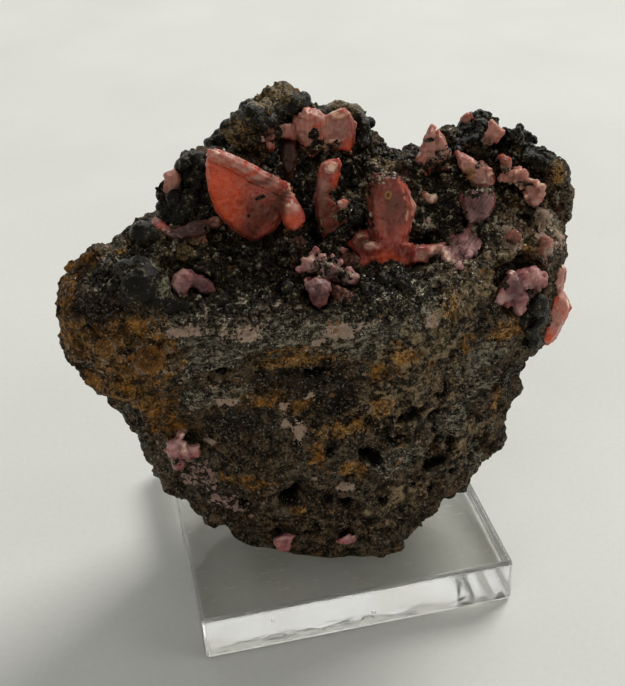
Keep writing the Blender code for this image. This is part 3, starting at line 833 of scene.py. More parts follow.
# %% List the large knobs, each with its radius
LEFT_CREST = [
    (282, 91, 2.4), (297, 101, 3.0), (290, 97, 2.2), (271, 94, 2.2), (305, 99, 1.8), (257, 116, 3.4),
    (264, 111, 2.6), (246, 109, 2.2),
    (254, 104, 1.6), (236, 120, 2.4), (229, 128, 2.4), (241, 133, 2.2), (222, 139, 2.4), (211, 145, 1.9),
    (200, 162, 2.1), (190, 157, 2.6), (181, 166, 2.4), (188, 172, 2.4), (184, 186, 2.2), (186, 163, 2.4),
    (198, 188, 2.0), (191, 199, 2.6), (182, 212, 3.4), (169, 212, 2.2), (206, 206, 1.6), (176, 205, 2.6),
    (164, 208, 2.0), (200, 175, 2.4),
    (139, 228, 2.6), (146, 235, 2.4), (150, 224, 2.0), (165, 219, 2.4), (175, 217, 2.8), (250, 142, 2.0),
    (233, 138, 2.6), (241, 145, 2.6), (226, 147, 2.4), (215, 152, 2.2),
    (265, 136, 1.8), (276, 110, 2.6), (306, 106, 1.8), (290, 114, 2.0), (285, 100, 2.6), (270, 122, 2.2),
]
BEHIND_BLOCK = [
    (344, 110, 2.4), (354, 111, 2.3), (359, 119, 2.7), (364, 128, 2.1), (365, 136, 1.8), (361, 141, 2.2),
    (356, 148, 2.2), (335, 109, 2.2), (326, 115, 2.6), (318, 113, 2.0), (370, 122, 1.6),
]
SADDLE = [
    (379, 152, 1.3), (389, 151, 1.3), (405, 153, 1.2), (412, 157, 1.0), (372, 154, 1.3), (397, 155, 1.0),
]
RIGHT_PEAK = [
    (465, 130, 1.5), (466, 121, 1.6), (472, 117, 1.6), (479, 116, 1.8), (486, 117, 1.4), (480, 124, 2.2),
    (470, 129, 2.0), (460, 144, 1.3), (464, 140, 1.6), (474, 139, 2.0), (512, 137, 2.0),
    (520, 129, 1.5), (533, 139, 1.2), (525, 141, 2.0), (516, 147, 2.0), (531, 149, 1.8), (541, 152, 1.4),
    (552, 160, 1.5), (548, 168, 1.9), (537, 162, 2.0), (526, 157, 1.8), (505, 144, 1.7),
]
LEFT_LOBE = [
    (137, 284, 4.9), (141, 262, 2.6), (122, 266, 2.4), (106, 266, 2.0), (157, 303, 2.4), (153, 268, 2.6),
    (172, 308, 2.4), (186, 306, 1.8),
]
RIGHT_FACE = [
    (537, 304, 2.6), (541, 320, 2.4), (531, 331, 2.8), (546, 311, 1.6), (535, 341, 2.0), (524, 319, 1.8),
]
POCKET = [
    (228, 250, 2.8), (246, 263, 2.4), (264, 256, 2.6), (222, 238, 1.8), (200, 240, 2.2), (186, 251, 2.4),
    (285, 262, 2.4), (345, 252, 1.6), (350, 205, 1.6), (400, 283, 2.4), (382, 280, 2.4), (352, 298, 1.6),
    (300, 240, 2.0), (290, 190, 1.8), (272, 160, 2.2), (305, 172, 1.6), (350, 258, 2.6), (344, 301, 2.4),
    (337, 292, 2.0),
    (214, 266, 2.6), (238, 282, 3.0), (262, 276, 2.8), (222, 300, 2.2), (286, 286, 2.6), (366, 286, 2.4),
    (416, 276, 2.2),
    (352, 184, 1.8), (358, 214, 2.0), (430, 232, 2.0), (446, 214, 1.8), (306, 214, 2.0),
]
CONCRETIONS = [
    (105, 350, 3.4), (148, 361, 4.9), (120, 386, 4.2), (92, 338, 2.6), (433, 364, 1.1), (152, 405, 3.0),
]
RIM_ROCK = [
    (553, 164, 2.4), (556, 172, 3.0), (559, 182, 3.2), (560, 193, 3.4), (561, 204, 3.2), (562, 215, 2.8),
    (561, 226, 2.4),
    (560, 238, 2.0), (549, 178, 2.6), (552, 190, 2.6), (522, 208, 2.2), (508, 214, 2.4), (540, 216, 2.6),
]
knob_lists = (
    LEFT_CREST, BEHIND_BLOCK, SADDLE, RIGHT_PEAK, LEFT_LOBE, RIGHT_FACE, POCKET, CONCRETIONS, RIM_ROCK,
)
print("knobs listed:", sum(len(knob_list) for knob_list in knob_lists))

# %% Grow the large knobs
grown = Target(rock)


def knob_seat(u, v, radius, sunk):
    """The middle of a knob that shows at a point of the view and is sunk by a share of its radius."""
    place, normal = grown.strike(u, v)
    if place is not None:
        return place - normal * radius * sunk * MM
    return grown.graze(u, v)


knobs = Grower("placed knobs", {"Flatness": 0.25, "Rounds": 4, "Finish": goethite.material})
dots = knobs.add("GeometryNodeMeshToPoints", None, {"Mesh": knobs.given("Mesh")})
knobs.deliver(knobs.balls_on(dots, knobs.attribute("reach"), 1.15, 4))

SHELL = [(157, 260, 1.4, 3), (167, 284, 2.4, 1.4), (150, 251, 2, 1.2), (172, 291, 2.4, 1.2)]
BUDDED = [
    (240, 138, 5, 4), (268, 120, 5, 4), (475, 130, 10, 8), (525, 145, 10, 8), (275, 96, 3, 3),
    (228, 248, 8, 5),
    (390, 282, 6, 3), (390, 153, 8, 3), (205, 190, 4, 4),
]


def grow_knobs(name, finish, groups, quad, flatness, **sizes):
    """Grow knobs into one skin. The groups pair a list of knobs with how deep they are sunk."""
    chosen = [(*knob, sunk) for knob_list, sunk in groups for knob in knob_list]
    seats = bpy.data.meshes.new(name)
    seats.from_pydata([knob_seat(*knob) for knob in chosen], [], [])
    reach = seats.attributes.new("reach", "FLOAT", "POINT")
    reach.data.foreach_set("value", [radius * MM for _, _, radius, _ in chosen])
    piece = remesh(knobs.run(new_piece(name, seats), Flatness=flatness, Finish=finish.material), quad)
    skin = Target(piece)
    for stain, spots in (STAINS_AND_SHADE | {"drusy": DRUSY, "beaded": BUDDED, "shell": SHELL}).items():
        paint(piece, skin, stain, spots)
    relief.run(piece, Layers=0.0, Pits=0.0, Foot=0.0, Finish=finish.material, **sizes)
    piece.data.materials.clear()
    piece.data.materials.append(finish.material)
    piece.data.polygons.foreach_set("use_smooth", [True] * len(piece.data.polygons))
    print(name, "knobs:", len(chosen), "triangles:", triangles(piece))
    return piece


rock_knobs = grow_knobs(
    "goethite_knobs", goethite,
    [
        (LEFT_CREST + BEHIND_BLOCK, 0.35), (SADDLE + RIGHT_PEAK + RIGHT_FACE, 0.25), (LEFT_LOBE, 0.5),
        (POCKET, 0.35),
    ],
    0.4, 0.3, Blur=1, Lumps=0.9, Chunks=0.35, Crumbs=0.5, Grit=0.15,
)
concretions = grow_knobs(
    "ochre_concretions", limonite, [(CONCRETIONS, 0.42), (RIM_ROCK, 0.6)],
    0.4, 0.2, Blur=1, Lumps=0.7, Chunks=0.5, Crumbs=0.5, Grit=0.3,
)
rock_buds = dressed(
    "goethite_buds", rock_knobs, goethite, True, Spacing=1.6, Smallest=0.5, Largest=1.3, Sink=0.35, Seed=4,
)

# %% [markdown]
# ## The crystals' finishes
#
# Rhodochrosite is a pink to red carbonate that light soaks into. Light scattered below the surface gives
# that glow, and its strength and reach are the same all over. A more vivid orange-red, partly the
# crystal's own colour, adds painted glow where light shines through from behind, and near-white spots
# are painted highlights. The colour changes: paler along thin edges and top edges, where it is partly a
# painted highlight, smoky where brown iron got in, and rosier in the younger crystals.

# %% Mix the two rhodochrosites


def rhodochrosite(name, deep, clear, pale, smoke, glow):
    """A carbonate that light soaks into, with painted pale and smoky places, painted glow and highlights."""
    finish = Finish(name, {
        "Subsurface Weight": glow,
        "Subsurface Radius": (1.0, 0.42, 0.32),
        "Subsurface Scale": 3.0 * MM,
        "IOR": 1.5,
        "Specular IOR Level": 0.25,
        "Coat Weight": 0.08,
        "Coat Roughness": 0.1,
    })
    spot = finish.place
    cloud = finish.noise(spot, 4.5, 4, 0.6)
    upright = finish.add("ShaderNodeMapping", None, {"Vector": spot, "Scale": (1, 1, 0.4)})
    veil = finish.noise(upright, 1.4, 4, 0.7, 0.5)
    finish.colour = finish.mix(finish.rise(cloud, 0.4, 0.6), deep, clear)
    finish.lay(finish.rise(veil, 0.5, 0.66) * 0.4, pale)
    for mark, size, wander, edge, share, shade in (
        # A more vivid orange-red: partly the crystal's own colour, partly painted glow where light shines
        # through from behind.
        ("vivid_and_glow", 2.5, 0.7, 0.45, 0.8, tint(216, 90, 52)),
        # Paler places: the crystal's own paler zones, and along top edges a painted highlight.
        ("pale", 1.2, 1.1, 0.3, 0.85, pale),
        # Near-white spots: painted highlights on facets and edges that face the light.
        ("painted_highlight", 0.7, 1.4, 0.25, 0.8, tint(240, 204, 178)),
        ("smoky", 2.4, 0.9, 0.4, 0.85, smoke),
    ):
        finish.lay(finish.ragged(mark, size, wander, edge) * share, shade)
    stair = finish.attribute("stair")
    finish.lay(finish.rise(stair, 0.78, 1.0) * 0.55, deep)
    finish.lay(finish.ragged("murk", 1.6, 0.8, 0.3) * 0.8, tint(46, 27, 20))
    gold = finish.attribute("gold")
    finish.lay(finish.rise(gold, 0.6, 0.75) * 0.6, tint(70, 52, 26))
    finish.lay(finish.rise(gold, 0.34, 0.46) * finish.rise(gold, 0.74, 0.62) * 0.85, tint(150, 116, 54))
    finish.lay(finish.ragged("blot", 0.8, 1.0, 0.08), tint(14, 11, 9))
    finish.lay(finish.rise(finish.noise(spot, 0.6, 3, 0.7), 0.64, 0.7) * 0.7, tint(40, 28, 20))
    finish.feed("Base Color", finish.colour)
    finish.feed("Roughness", 0.2 + finish.rise(veil, 0.4, 0.65) * 0.35)
    finish.bump(veil + cloud + finish.facets(spot, 0.9) * 1.6 - finish.rise(stair, 0.86, 1.0) * 0.6, 0.26)
    print(name, "nodes:", len(finish.tree.nodes))
    return finish


red = rhodochrosite(
    "rhodochrosite_red", tint(124, 46, 34), tint(172, 80, 64), tint(180, 134, 119), tint(104, 62, 48), 0.6
)
lilac = rhodochrosite(
    "rhodochrosite_lilac", tint(120, 64, 64), tint(156, 97, 95), tint(188, 146, 140), tint(84, 56, 56), 0.4
)

# %% [markdown]
# ## Cutting the crystals
#
# A crystal is flat faces round a body, so a few corners and their convex hull describe it well. Each
# body is given as outlines at steps of depth. Bodies that grew together are remeshed into one skin,
# and a small tree then cuts the growth steps that run across the big blade.

# %% The crystal cutter
CRYSTAL_QUAD = 0.28
PIXELS_A_MM = 4.5
SEED_STEP = 1000


def depth_on(plane, u, v):
    """How deep a plane lies behind a point of the view. It gives a point, its depth and any slopes."""
    u0, v0, depth, per_u, per_v = (*plane, 0, 0)[:5]
    return depth + (u - u0) * per_u + (v - v0) * per_v


def hull(work, plane, layers):
    """Add the hull of outlines, each so many millimetres in front of the plane."""
    corners = [
        work.verts.new(seen_at(u, v, depth_on(plane, u, v) - toward))
        for toward, outline in layers
        for u, v in outline
    ]
    made = bmesh.ops.convex_hull(work, input=corners)
    spare = {item for item in made["geom_interior"] + made["geom_unused"] if isinstance(
        item, bmesh.types.BMVert,
    )}
    bmesh.ops.delete(work, geom=list(spare), context="VERTS")


def shrunk(outline, share):
    """The outline pulled in towards its middle."""
    middle_u = sum(u for u, _ in outline) / len(outline)
    middle_v = sum(v for _, v in outline) / len(outline)
    return [(middle_u + (u - middle_u) * share, middle_v + (v - middle_v) * share) for u, v in outline]


def pebble(outline, front, back, flat=0.78):
    """Layers of a simple faceted body: its outline, a smaller front face and a smaller back."""
    return [(0, outline), (front, shrunk(outline, flat)), (-back, shrunk(outline, 0.7))]


def nuggets(spots, plane=None, lift=0.6):
    """Bodies of small grown-together crystals. They sit on the stone, or on a plane as the hulls do."""
    bodies = []
    for u, v, wide in spots:
        luck = random.Random(round(u * SEED_STEP + v))
        start = luck.uniform(0, math.tau)
        outline = []
        for corner in range(6):
            angle = start + corner * math.tau / 6 + luck.uniform(-0.3, 0.3)
            far = wide * luck.uniform(0.75, 1.2)
            outline.append((u + far * math.cos(angle), v + far * math.sin(angle)))
        y = depth_on(plane, u, v) if plane else grown.strike(u, v)[0].y / MM
        tall = wide / PIXELS_A_MM
        tilt = (u, v, y - tall * lift, luck.uniform(-0.12, 0.12), luck.uniform(-0.12, 0.06))
        bodies.append((tilt, pebble(
            outline, tall * luck.uniform(0.4, 0.9), tall * 2.2, luck.uniform(0.45, 0.75),
        )))
    return bodies


# %% The tree that cuts growth steps
steps = Grower("growth steps", {
    "Step": 0.8, "Rise": 0.3, "Ripple": 0.1, "Facets": 0.5, "Blur": 0, "Across": (0.0, 0.0, 1.0),
    "Finish": red.material,
})
where = steps.where
drift = steps.along(where, steps.given("Across")) * A_METRE + (steps.noise(where, 9, 1) - 0.5) * 0.8
cut = steps.maths("FRACT", drift / steps.given("Step")) * steps.rise(steps.attribute("stepped"), 0.2, 0.5)
ripple = (steps.noise(where, 1.6, 3) - 0.5) * steps.given("Ripple") * 2
chipped = steps.rise(steps.cells(where, 2.0), 0.35, 0.15) * steps.rise(steps.noise(where, 3), 0.52, 0.6) * 0.3
broken = steps.facets(where, 2.4) * steps.given("Facets")
carved = steps.pushed(steps.softened(), cut * steps.given("Rise") + ripple + broken - chipped)
steps.deliver(steps.noted(carved, "stair", cut))
print("step tree nodes:", len(steps.tree.nodes))

# %% The cutter
crystals = {}
crusts = []


def drop_specks(piece, fewest=60):
    """Remove bits of skin that came loose and are too small to be a crystal."""
    work = bmesh.new()
    work.from_mesh(piece.data)
    waiting = set(work.verts)
    while waiting:
        island = {waiting.pop()}
        reached = list(island)
        while reached:
            corner = reached.pop()
            near = {side.other_vert(corner) for side in corner.link_edges} & waiting
            waiting -= near
            island |= near
            reached += near
        if len(island) < fewest:
            bmesh.ops.delete(work, geom=list(island), context="VERTS")
    work.to_mesh(piece.data)
    work.free()


def cut_crystal(node, finish, bodies, marks, **sizes):
    """Cut one crystal or group from its bodies, and paint the marks that its finish reads."""
    work = bmesh.new()
    for plane, layers in bodies:
        hull(work, plane, layers)
    piece = remesh(kept("cut_" + node, work), CRYSTAL_QUAD)
    drop_specks(piece)
    target = Target(piece)
    # The marks include painted glow where light shines through and painted highlights, as well as the
    # crystals' own colours.
    for name, spots in marks.items():
        paint(piece, target, name, spots)
    steps.run(piece, Finish=finish.material, **sizes)
    print(node, "triangles:", triangles(piece))
    crystals[node] = (piece, finish)
    if "crusted" in marks:
        crusts.append(dressed(
            "crust_on_" + node, piece, druse, False, Where="crusted", Spacing=0.42, Smallest=0.2,
            Largest=0.75, Rounds=1, Flatness=0.6, Uneven=0.4, Seed=8,
        ))
    return piece


# %% [markdown]
# ## The big blade
#
# The blade is the specimen's best crystal: a thick orange-red plate with a stepped top edge and a small
# round-ended crystal on its right end. Growth steps run along the top edge, so they are cut across it.

# %% Cut the blade
blade_plane = (210, 149, -14.5, 0.0487, 0.057)
blade_outline = [
    (205, 164), (208, 150), (215, 149), (226, 153), (240, 158), (253, 165), (265, 174), (277, 179),
    (288, 183),
    (294, 187), (293, 199), (288, 205), (277, 229), (265, 234), (258, 241), (250, 243), (243, 239),
    (232, 230),
    (222, 220), (214, 210), (208, 190),
]
blade_face = [
    (209, 166), (229, 174), (257, 190), (288, 204), (275, 227), (256, 238), (243, 234), (224, 217),
    (211, 192),
]
top_plate = [
    (208, 151), (215, 150), (226, 154), (240, 159), (253, 166), (265, 175), (277, 181), (290, 186),
    (289, 199),
    (272, 192), (257, 182), (240, 171), (228, 166), (208, 158),
]
mid_plate = [
    (226, 156), (240, 161), (254, 168), (270, 179), (284, 188), (280, 192), (262, 181), (244, 170),
    (228, 163),
]
low_plate = [(246, 196), (262, 192), (286, 205), (276, 228), (258, 239), (249, 228), (252, 214)]
stub_end = [
    (283, 213), (285, 206), (291, 203), (299, 205), (304, 211), (306, 220), (302, 228), (295, 232),
    (287, 230),
    (282, 222),
]
stub_root = [(276, 196), (290, 190), (297, 200), (294, 212), (284, 210)]
stub_facet = [(286, 214), (294, 210), (302, 215), (303, 223), (295, 229), (287, 226)]
top_edge = seen_at(294, 187, -14) - seen_at(208, 150, -14)
cut_crystal(
    "blade_crystal", red,
    [
        (blade_plane, [(0, blade_outline), (3.0, blade_face), (-5, shrunk(blade_outline, 0.75))]),
        (blade_plane, [(1.8, top_plate), (2.9, shrunk(top_plate, 0.9)), (-1, shrunk(top_plate, 0.9))]),
        (blade_plane, [(2.8, mid_plate), (3.6, shrunk(mid_plate, 0.88)), (-1, shrunk(mid_plate, 0.9))]),
        (blade_plane, [(2.8, low_plate), (3.7, shrunk(low_plate, 0.93)), (-1, shrunk(low_plate, 0.9))]),
        ((295, 218, -14.4), [(1.4, stub_facet), (0, stub_end), (-4.5, stub_root)]),
    ],
    {
        "stepped": [
            (212, 154, 2.4, 1.6), (224, 159, 2.4, 1.6), (236, 164, 2.4, 1.6), (248, 170, 2.4, 1.6),
            (260, 178, 2.4, 1.6), (272, 185, 2.4, 1.6), (284, 192, 2.4, 1.6),
        ],
        "pale": [
            (214, 154, 2.2, 1.0), (225, 158, 2.2, 0.9), (237, 163, 2.2, 0.8), (248, 168, 2.2, 0.8),
            (260, 176, 2.2, 0.8), (272, 183, 2.0, 0.8), (289, 194, 1.4, 1.4), (292, 207, 2, 1),
        ],
        "painted_highlight": [(218, 152, 1, 0.3), (289, 187, 0.8, 0.5), (288, 205, 0.6, 0.4)],
        "vivid_and_glow": [
            (220, 182, 5, 5), (232, 196, 3, 3), (218, 202, 3, 5), (228, 214, 3, 3), (294, 221, 1.6, 1.6),
        ],
        "smoky": [
            (264, 212, 4, 3.4), (273, 205, 3, 3), (254, 229, 2, 2), (278, 202, 2, 2), (284, 193, 1, 1),
            (262, 182, 3, 0.8),
        ],
        "blot": [(261, 197, 1.0, 0.6), (257, 199, 0.5, 0.4), (249, 216, 0.5, 0.5)],
    },
    Across=tuple(top_edge.cross(backward).normalized()), Step=0.85, Rise=0.5, Facets=0.12,
)

# %% [markdown]
# ## The crystals in the middle
#
# The twin block is pale and blocky, the finger is a bent column, and the dome is a smoky crystal over a
# deep red mass. Bodies that overlap become one skin when they are remeshed, as grown-together crystals do.

# %% Cut the twin block
left_lobe = [
    (293, 121), (298, 114), (306, 108), (315, 109), (322, 112), (328, 118), (330, 134), (326, 148),
    (313, 157),
    (306, 156), (299, 143), (293, 131),
]
right_lobe = [
    (321, 118), (332, 112), (341, 109), (345, 107), (350, 113), (356, 121), (356, 132), (352, 142),
    (351, 156),
    (338, 153), (322, 147),
]
right_cap = [(324, 117), (333, 111), (345, 107), (351, 114), (344, 120), (334, 123)]
middle = [(303, 118), (322, 116), (345, 121), (350, 136), (344, 150), (320, 150), (308, 150), (299, 134)]
pink_bit = [(272, 131), (279, 124), (288, 125), (297, 124), (296, 140), (277, 138)]
cut_crystal(
    "twin_block_crystal", red,
    [
        ((325, 110, 0.6, 0, 0.05), pebble(left_lobe, 3.0, 4, 0.72)),
        ((325, 110, 0.6, 0, 0.05), pebble(right_lobe, 2.6, 4, 0.8)),
        ((334, 116, -0.6, 0, 0.16), pebble(right_cap, 1.6, 4, 0.7)),
        ((325, 110, -0.4, 0, 0.05), pebble(middle, 1.7, 5, 0.86)),
        ((282, 131, 1.0), pebble(pink_bit, 1.5, 4)),
    ],
    {
        "stepped": [(308, 125, 4, 6), (300, 135, 2, 4)],
        "pale": [
            (339, 116, 3, 1.8), (325, 118, 1.4, 3), (304, 118, 3, 3), (282, 130, 3, 2), (334, 132, 4, 4),
            (318, 115, 3, 2), (304, 134, 2.4, 4),
        ],
        "painted_highlight": [(340, 116, 1.6, 0.7), (333, 113, 1, 0.4), (334, 141, 1.2, 0.4)],
        "vivid_and_glow": [(348, 148, 1.4, 2), (302, 146, 1.6, 2.4), (311, 124, 2.4, 2.4), (326, 140, 1.6, 2)],
        "blot": [(314, 134, 1.2, 1.6), (318, 144, 1.6, 1.2), (304, 151, 0.8, 0.8)],
        "crusted": [(321, 147, 4.5, 1.1), (308, 153, 2.5, 1.2), (314, 136, 0.8, 1.2), (338, 152, 3, 0.8)],
    },
    Across=(1.0, 0.0, 0.0), Step=1.1, Rise=0.3, Facets=0.3,
)

# %% Cut the finger
finger_top = [
    (320, 163), (331, 158), (339, 158), (342, 165), (341, 174), (336, 188), (327, 196), (313, 199),
    (316, 184),
]
finger_facet = [(322, 163), (331, 160), (338, 164), (337, 172), (331, 175)]
finger_low = [
    (313, 194), (318, 190), (327, 192), (332, 206), (342, 213), (354, 224), (358, 238), (348, 246),
    (330, 248),
    (321, 236), (315, 216),
]
chip = [(336, 201), (343, 198), (349, 202), (347, 210), (338, 209)]
cut_crystal(
    "finger_crystal", red,
    [
        ((330, 160, -9.0, 0, 0.02), [
            (0, finger_top),
            (2.0, [(326, 176), (336, 176), (331, 190), (319, 194)]),
            (-2.8, shrunk(finger_top, 0.7)),
        ]),
        ((331, 168, -10.2, 0.04, 0.05), pebble(finger_facet, 0.6, 2.0, 0.8)),
        ((330, 160, -9.5, 0, 0.02), pebble(finger_low, 2.0, 3)),
        ((342, 204, -10.6), pebble(chip, 1.0, 3)),
    ],
    {
        "pale": [(331, 166, 1.8, 1.4), (342, 204, 1.4, 1.2), (322, 190, 1.4, 3)],
        "painted_highlight": [(331, 168, 1.2, 1.0), (340, 202, 0.5, 0.4)],
        "vivid_and_glow": [(336, 180, 1, 2)],
        "smoky": [(334, 232, 5, 4), (326, 214, 3, 3), (346, 238, 3, 3), (322, 198, 2, 3)],
        "crusted": [
            (337, 194, 1.4, 2), (341, 214, 2.4, 1.6), (352, 226, 1.6, 2.4), (332, 246, 3, 0.8),
            (319, 225, 0.8, 2),
        ],
    },
    Facets=0.25,
)

# %% Cut the dome and the mass below it
dome = [
    (366, 188), (370, 176), (376, 172), (395, 172), (401, 176), (407, 186), (412, 195), (417, 205),
    (414, 214),
    (411, 228), (408, 240), (405, 256), (396, 264), (380, 264), (370, 250), (368, 230), (368, 206),
]
dome_ridge = [(380, 178), (396, 178), (408, 204), (403, 240), (390, 256), (380, 236), (374, 204)]
base_mass = [
    (354, 263), (358, 247), (370, 240), (400, 240), (414, 243), (420, 250), (416, 264), (404, 269),
    (392, 265),
    (380, 269), (362, 269),
]
right_arm = [(408, 246), (424, 247), (434, 246), (446, 243), (448, 252), (438, 258), (420, 264), (408, 262)]
side_prong = [(347, 243), (356, 233), (368, 228), (375, 238), (370, 254), (355, 256)]
cap = [(360, 251), (363, 243), (372, 241), (382, 246), (385, 252), (376, 257), (364, 257)]
cut_crystal(
    "dome_crystal", red,
    [
        ((392, 174, -10, 0, -0.02), [
            (0, dome), (3.2, shrunk(dome, 0.78)), (4.3, dome_ridge), (-4.4, shrunk(dome, 0.75)),
        ]),
        ((400, 250, -13.6), pebble(base_mass, 2.4, 5, 0.84)),
        ((426, 252, -12.6), pebble(right_arm, 2.0, 4, 0.7)),
        ((356, 240, -12.5), pebble(side_prong, 2.2, 4, 0.6)),
        ((371, 250, -15.6, 0, 0.04), pebble(cap, 1.3, 4, 0.66)),
    ] + nuggets([
        (408, 258, 6), (418, 258, 6), (430, 252, 6), (362, 262, 6), (440, 248, 5), (386, 264, 6),
        (424, 258, 5),
    ], (400, 250, -15.2, 0.03, 0), 0),
    {
        "pale": [
            (371, 246, 2, 1.0), (438, 250, 2.4, 2), (426, 254, 2.4, 1.4), (413, 202, 1, 3),
            (356, 264, 1.4, 1),
        ],
        "painted_highlight": [(371, 243, 1.4, 0.4), (408, 215, 0.4, 1.2), (433, 249, 0.8, 0.4), (358, 236, 1.4, 0.3)],
        "vivid_and_glow": [(394, 262, 2, 1.4), (385, 258, 2, 1.4)],
        "smoky": [
            (374, 181, 2.2, 2.6), (390, 176, 3.0, 0.8), (370, 200, 1.6, 3), (360, 242, 2, 2),
            (394, 208, 3.4, 4),
        ],
        "gold": [(388, 195, 0.65, 0.8)],
        "crusted": [
            (374, 177, 2.4, 1.2), (368, 190, 0.8, 1.6), (388, 174, 2, 0.6), (403, 178, 1, 1.4),
            (414, 236, 1, 2.4), (370, 222, 0.7, 2),
        ],
    },
    Ripple=0.2, Facets=0.28,
)

# %% [markdown]
# ## The tips along the right
#
# Small pale points stand on the saddle and on the right peak, and a string of grown-together nuggets runs
# down the rim. A nugget is a six-sided pebble whose shape comes from its own fixed seed.

# %% Cut the tips on the saddle
tip_one = [
    (432, 123), (435, 126), (440, 140), (443, 160), (436, 176), (424, 180), (414, 178), (412, 170),
    (416, 158), (420, 149), (428, 129),
]
tip_two = [(438, 129), (442, 133), (448, 145), (452, 157), (453, 172), (440, 178), (434, 155)]
cut_crystal(
    "twin_tip_crystal", red,
    [
        ((432, 123, 2.6, 0, 0.01), pebble(tip_one, 2.4, 3, 0.7)),
        ((441, 133, 1.9, 0, 0.01), pebble(tip_two, 2.0, 3, 0.7)),
    ],
    {
        "pale": [(432, 134, 3, 5), (444, 146, 3, 5), (430, 154, 4, 3)],
        "vivid_and_glow": [(421, 168, 2, 2.6)],
        "smoky": [(436, 164, 4, 1.5), (446, 172, 2, 2)],
        "blot": [(430, 140, 1.1, 0.6), (436, 153, 0.5, 0.4)],
        "crusted": [(434, 164, 4, 1.6), (446, 166, 3, 4), (438, 176, 6, 3), (430, 140, 0.7, 0.4)],
    },
    Step=1.1, Rise=0.2,
)
blunt = [
    (455, 152), (458, 150), (468, 157), (479, 164), (486, 165), (496, 175), (495, 184), (489, 189),
    (477, 190),
    (470, 184), (461, 170), (457, 163),
]
cut_crystal(
    "blunt_tip_crystal", red,
    [((466, 152, -0.8, 0, -0.02), pebble(blunt, 2.4, 4, 0.72))] + nuggets(
        [(488, 172, 6), (484, 183, 6), (491, 181, 5), (472, 176, 5)],
        (466, 152, -2.6, 0, -0.02),
        0,
    ),
    {
        "pale": [(470, 164, 4, 2), (485, 180, 3, 3), (486, 172, 4, 3), (461, 156, 2, 2), (476, 180, 2, 2)],
        "painted_highlight": [(472, 159, 1.6, 0.3), (490, 174, 0.7, 0.6), (484, 183, 0.8, 0.6)],
        "gold": [(470, 174, 1.0, 1.1)],
        "crusted": [(476, 190, 3, 0.8), (464, 178, 0.9, 2), (492, 189, 2, 0.8), (480, 166, 1.4, 0.5)],
    },
)

# %% Cut the peak and the rim
peak = [(491, 118), (497, 124), (505, 131), (497, 141), (488, 147), (482, 141), (487, 130)]
peak_bit = [(460, 118), (464, 114), (472, 111), (474, 118), (468, 125), (461, 124)]
cut_crystal(
    "peak_crystal", red,
    [((494, 130, 3.0), pebble(peak, 1.4, 3)), ((467, 118, 14.6), pebble(peak_bit, 1.4, 4))],
    {
        "pale": [(494, 130, 4, 5), (466, 118, 2, 2)],
        "smoky": [(488, 142, 1.4, 1.4)],
        "crusted": [(484, 142, 1.5, 1), (470, 122, 1, 1)],
    },
)
rim_tip = [(498, 156), (503, 153), (510, 158), (512, 170), (503, 174)]
rim_mid = [(497, 179), (505, 170), (515, 168), (524, 169), (530, 175), (522, 182), (508, 183)]
rim_end = [(525, 184), (535, 180), (543, 183), (546, 188), (543, 200), (536, 206), (530, 207), (523, 200)]
cut_crystal(
    "rim_crystals", red,
    [
        ((506, 164, -1.8), pebble(rim_tip, 1.8, 4, 0.6)),
        ((514, 176, -3.0), pebble(rim_mid, 0.8, 4)),
        ((535, 192, -5.0), pebble(rim_end, 0.8, 4)),
    ] + nuggets([
        (503, 178, 5), (510, 174, 5), (517, 172, 5), (524, 175, 5), (516, 181, 4), (529, 180, 5),
        (536, 184, 5),
        (542, 187, 5), (540, 195, 5), (533, 192, 5), (528, 198, 5), (535, 202, 5), (522, 186, 4),
    ], (506, 170, -3.4, -0.085, -0.01), 0.3),
    {
        "pale": [(513, 176, 5, 2.6), (530, 185, 3, 2), (534, 198, 3, 3), (542, 190, 2, 2)],
        "painted_highlight": [(531, 178, 0.8, 0.5), (541, 184, 0.9, 0.6), (518, 171, 0.8, 0.4), (527, 197, 0.6, 0.5)],
        "vivid_and_glow": [(508, 180, 2, 1), (524, 182, 1.6, 1.4)],
        "smoky": [(504, 160, 1.6, 2.4)],
        "crusted": [(520, 186, 2.4, 0.8), (506, 170, 1.4, 0.7), (543, 180, 1, 0.5), (510, 185, 2, 0.6)],
    },
)

# %% Cut the crystals at the right edge
edge_top = [(549, 298), (551, 276), (555, 270), (562, 264), (567, 268), (563, 275), (565, 281), (562, 296)]
edge_mid = [(552, 294), (564, 291), (569, 300), (572, 308), (567, 318), (558, 332), (548, 334), (549, 308)]
edge_low = [(549, 306), (566, 310), (566, 320), (557, 338), (549, 346), (538, 345), (540, 336), (547, 326)]
cut_crystal(
    "edge_crystal", red,
    [
        ((557, 278, -10.5), pebble(edge_top, 2.0, 5, 0.6)),
        ((560, 308, -12.5, 0, -0.05), pebble(edge_mid, 2.0, 5, 0.7)),
        ((553, 330, -13.6, 0, -0.05), pebble(edge_low, 2.0, 5, 0.7)),
    ] + nuggets([(560, 270, 4), (556, 284, 5), (561, 300, 5)], (560, 300, -13.4, 0, -0.05), 0),
    {
        "pale": [(557, 276, 3, 3), (560, 284, 2, 2), (565, 300, 2, 4), (558, 322, 2, 4)],
        "vivid_and_glow": [(560, 306, 3, 5), (552, 334, 3, 3), (566, 312, 2, 3)],
        "painted_highlight": [(563, 266, 0.8, 0.5), (568, 304, 0.5, 1.2)],
        "crusted": [(551, 290, 0.8, 0.8), (549, 318, 0.8, 2)],
    },
    Facets=0.2,
)

# %% [markdown]
# ## The lilac crystals
#
# The younger crystals are lilac and lumpy. The fan is five thin blades that spread from one root, so a
# loop makes them from two rows of points. The others are pebbles and nuggets on the stone.

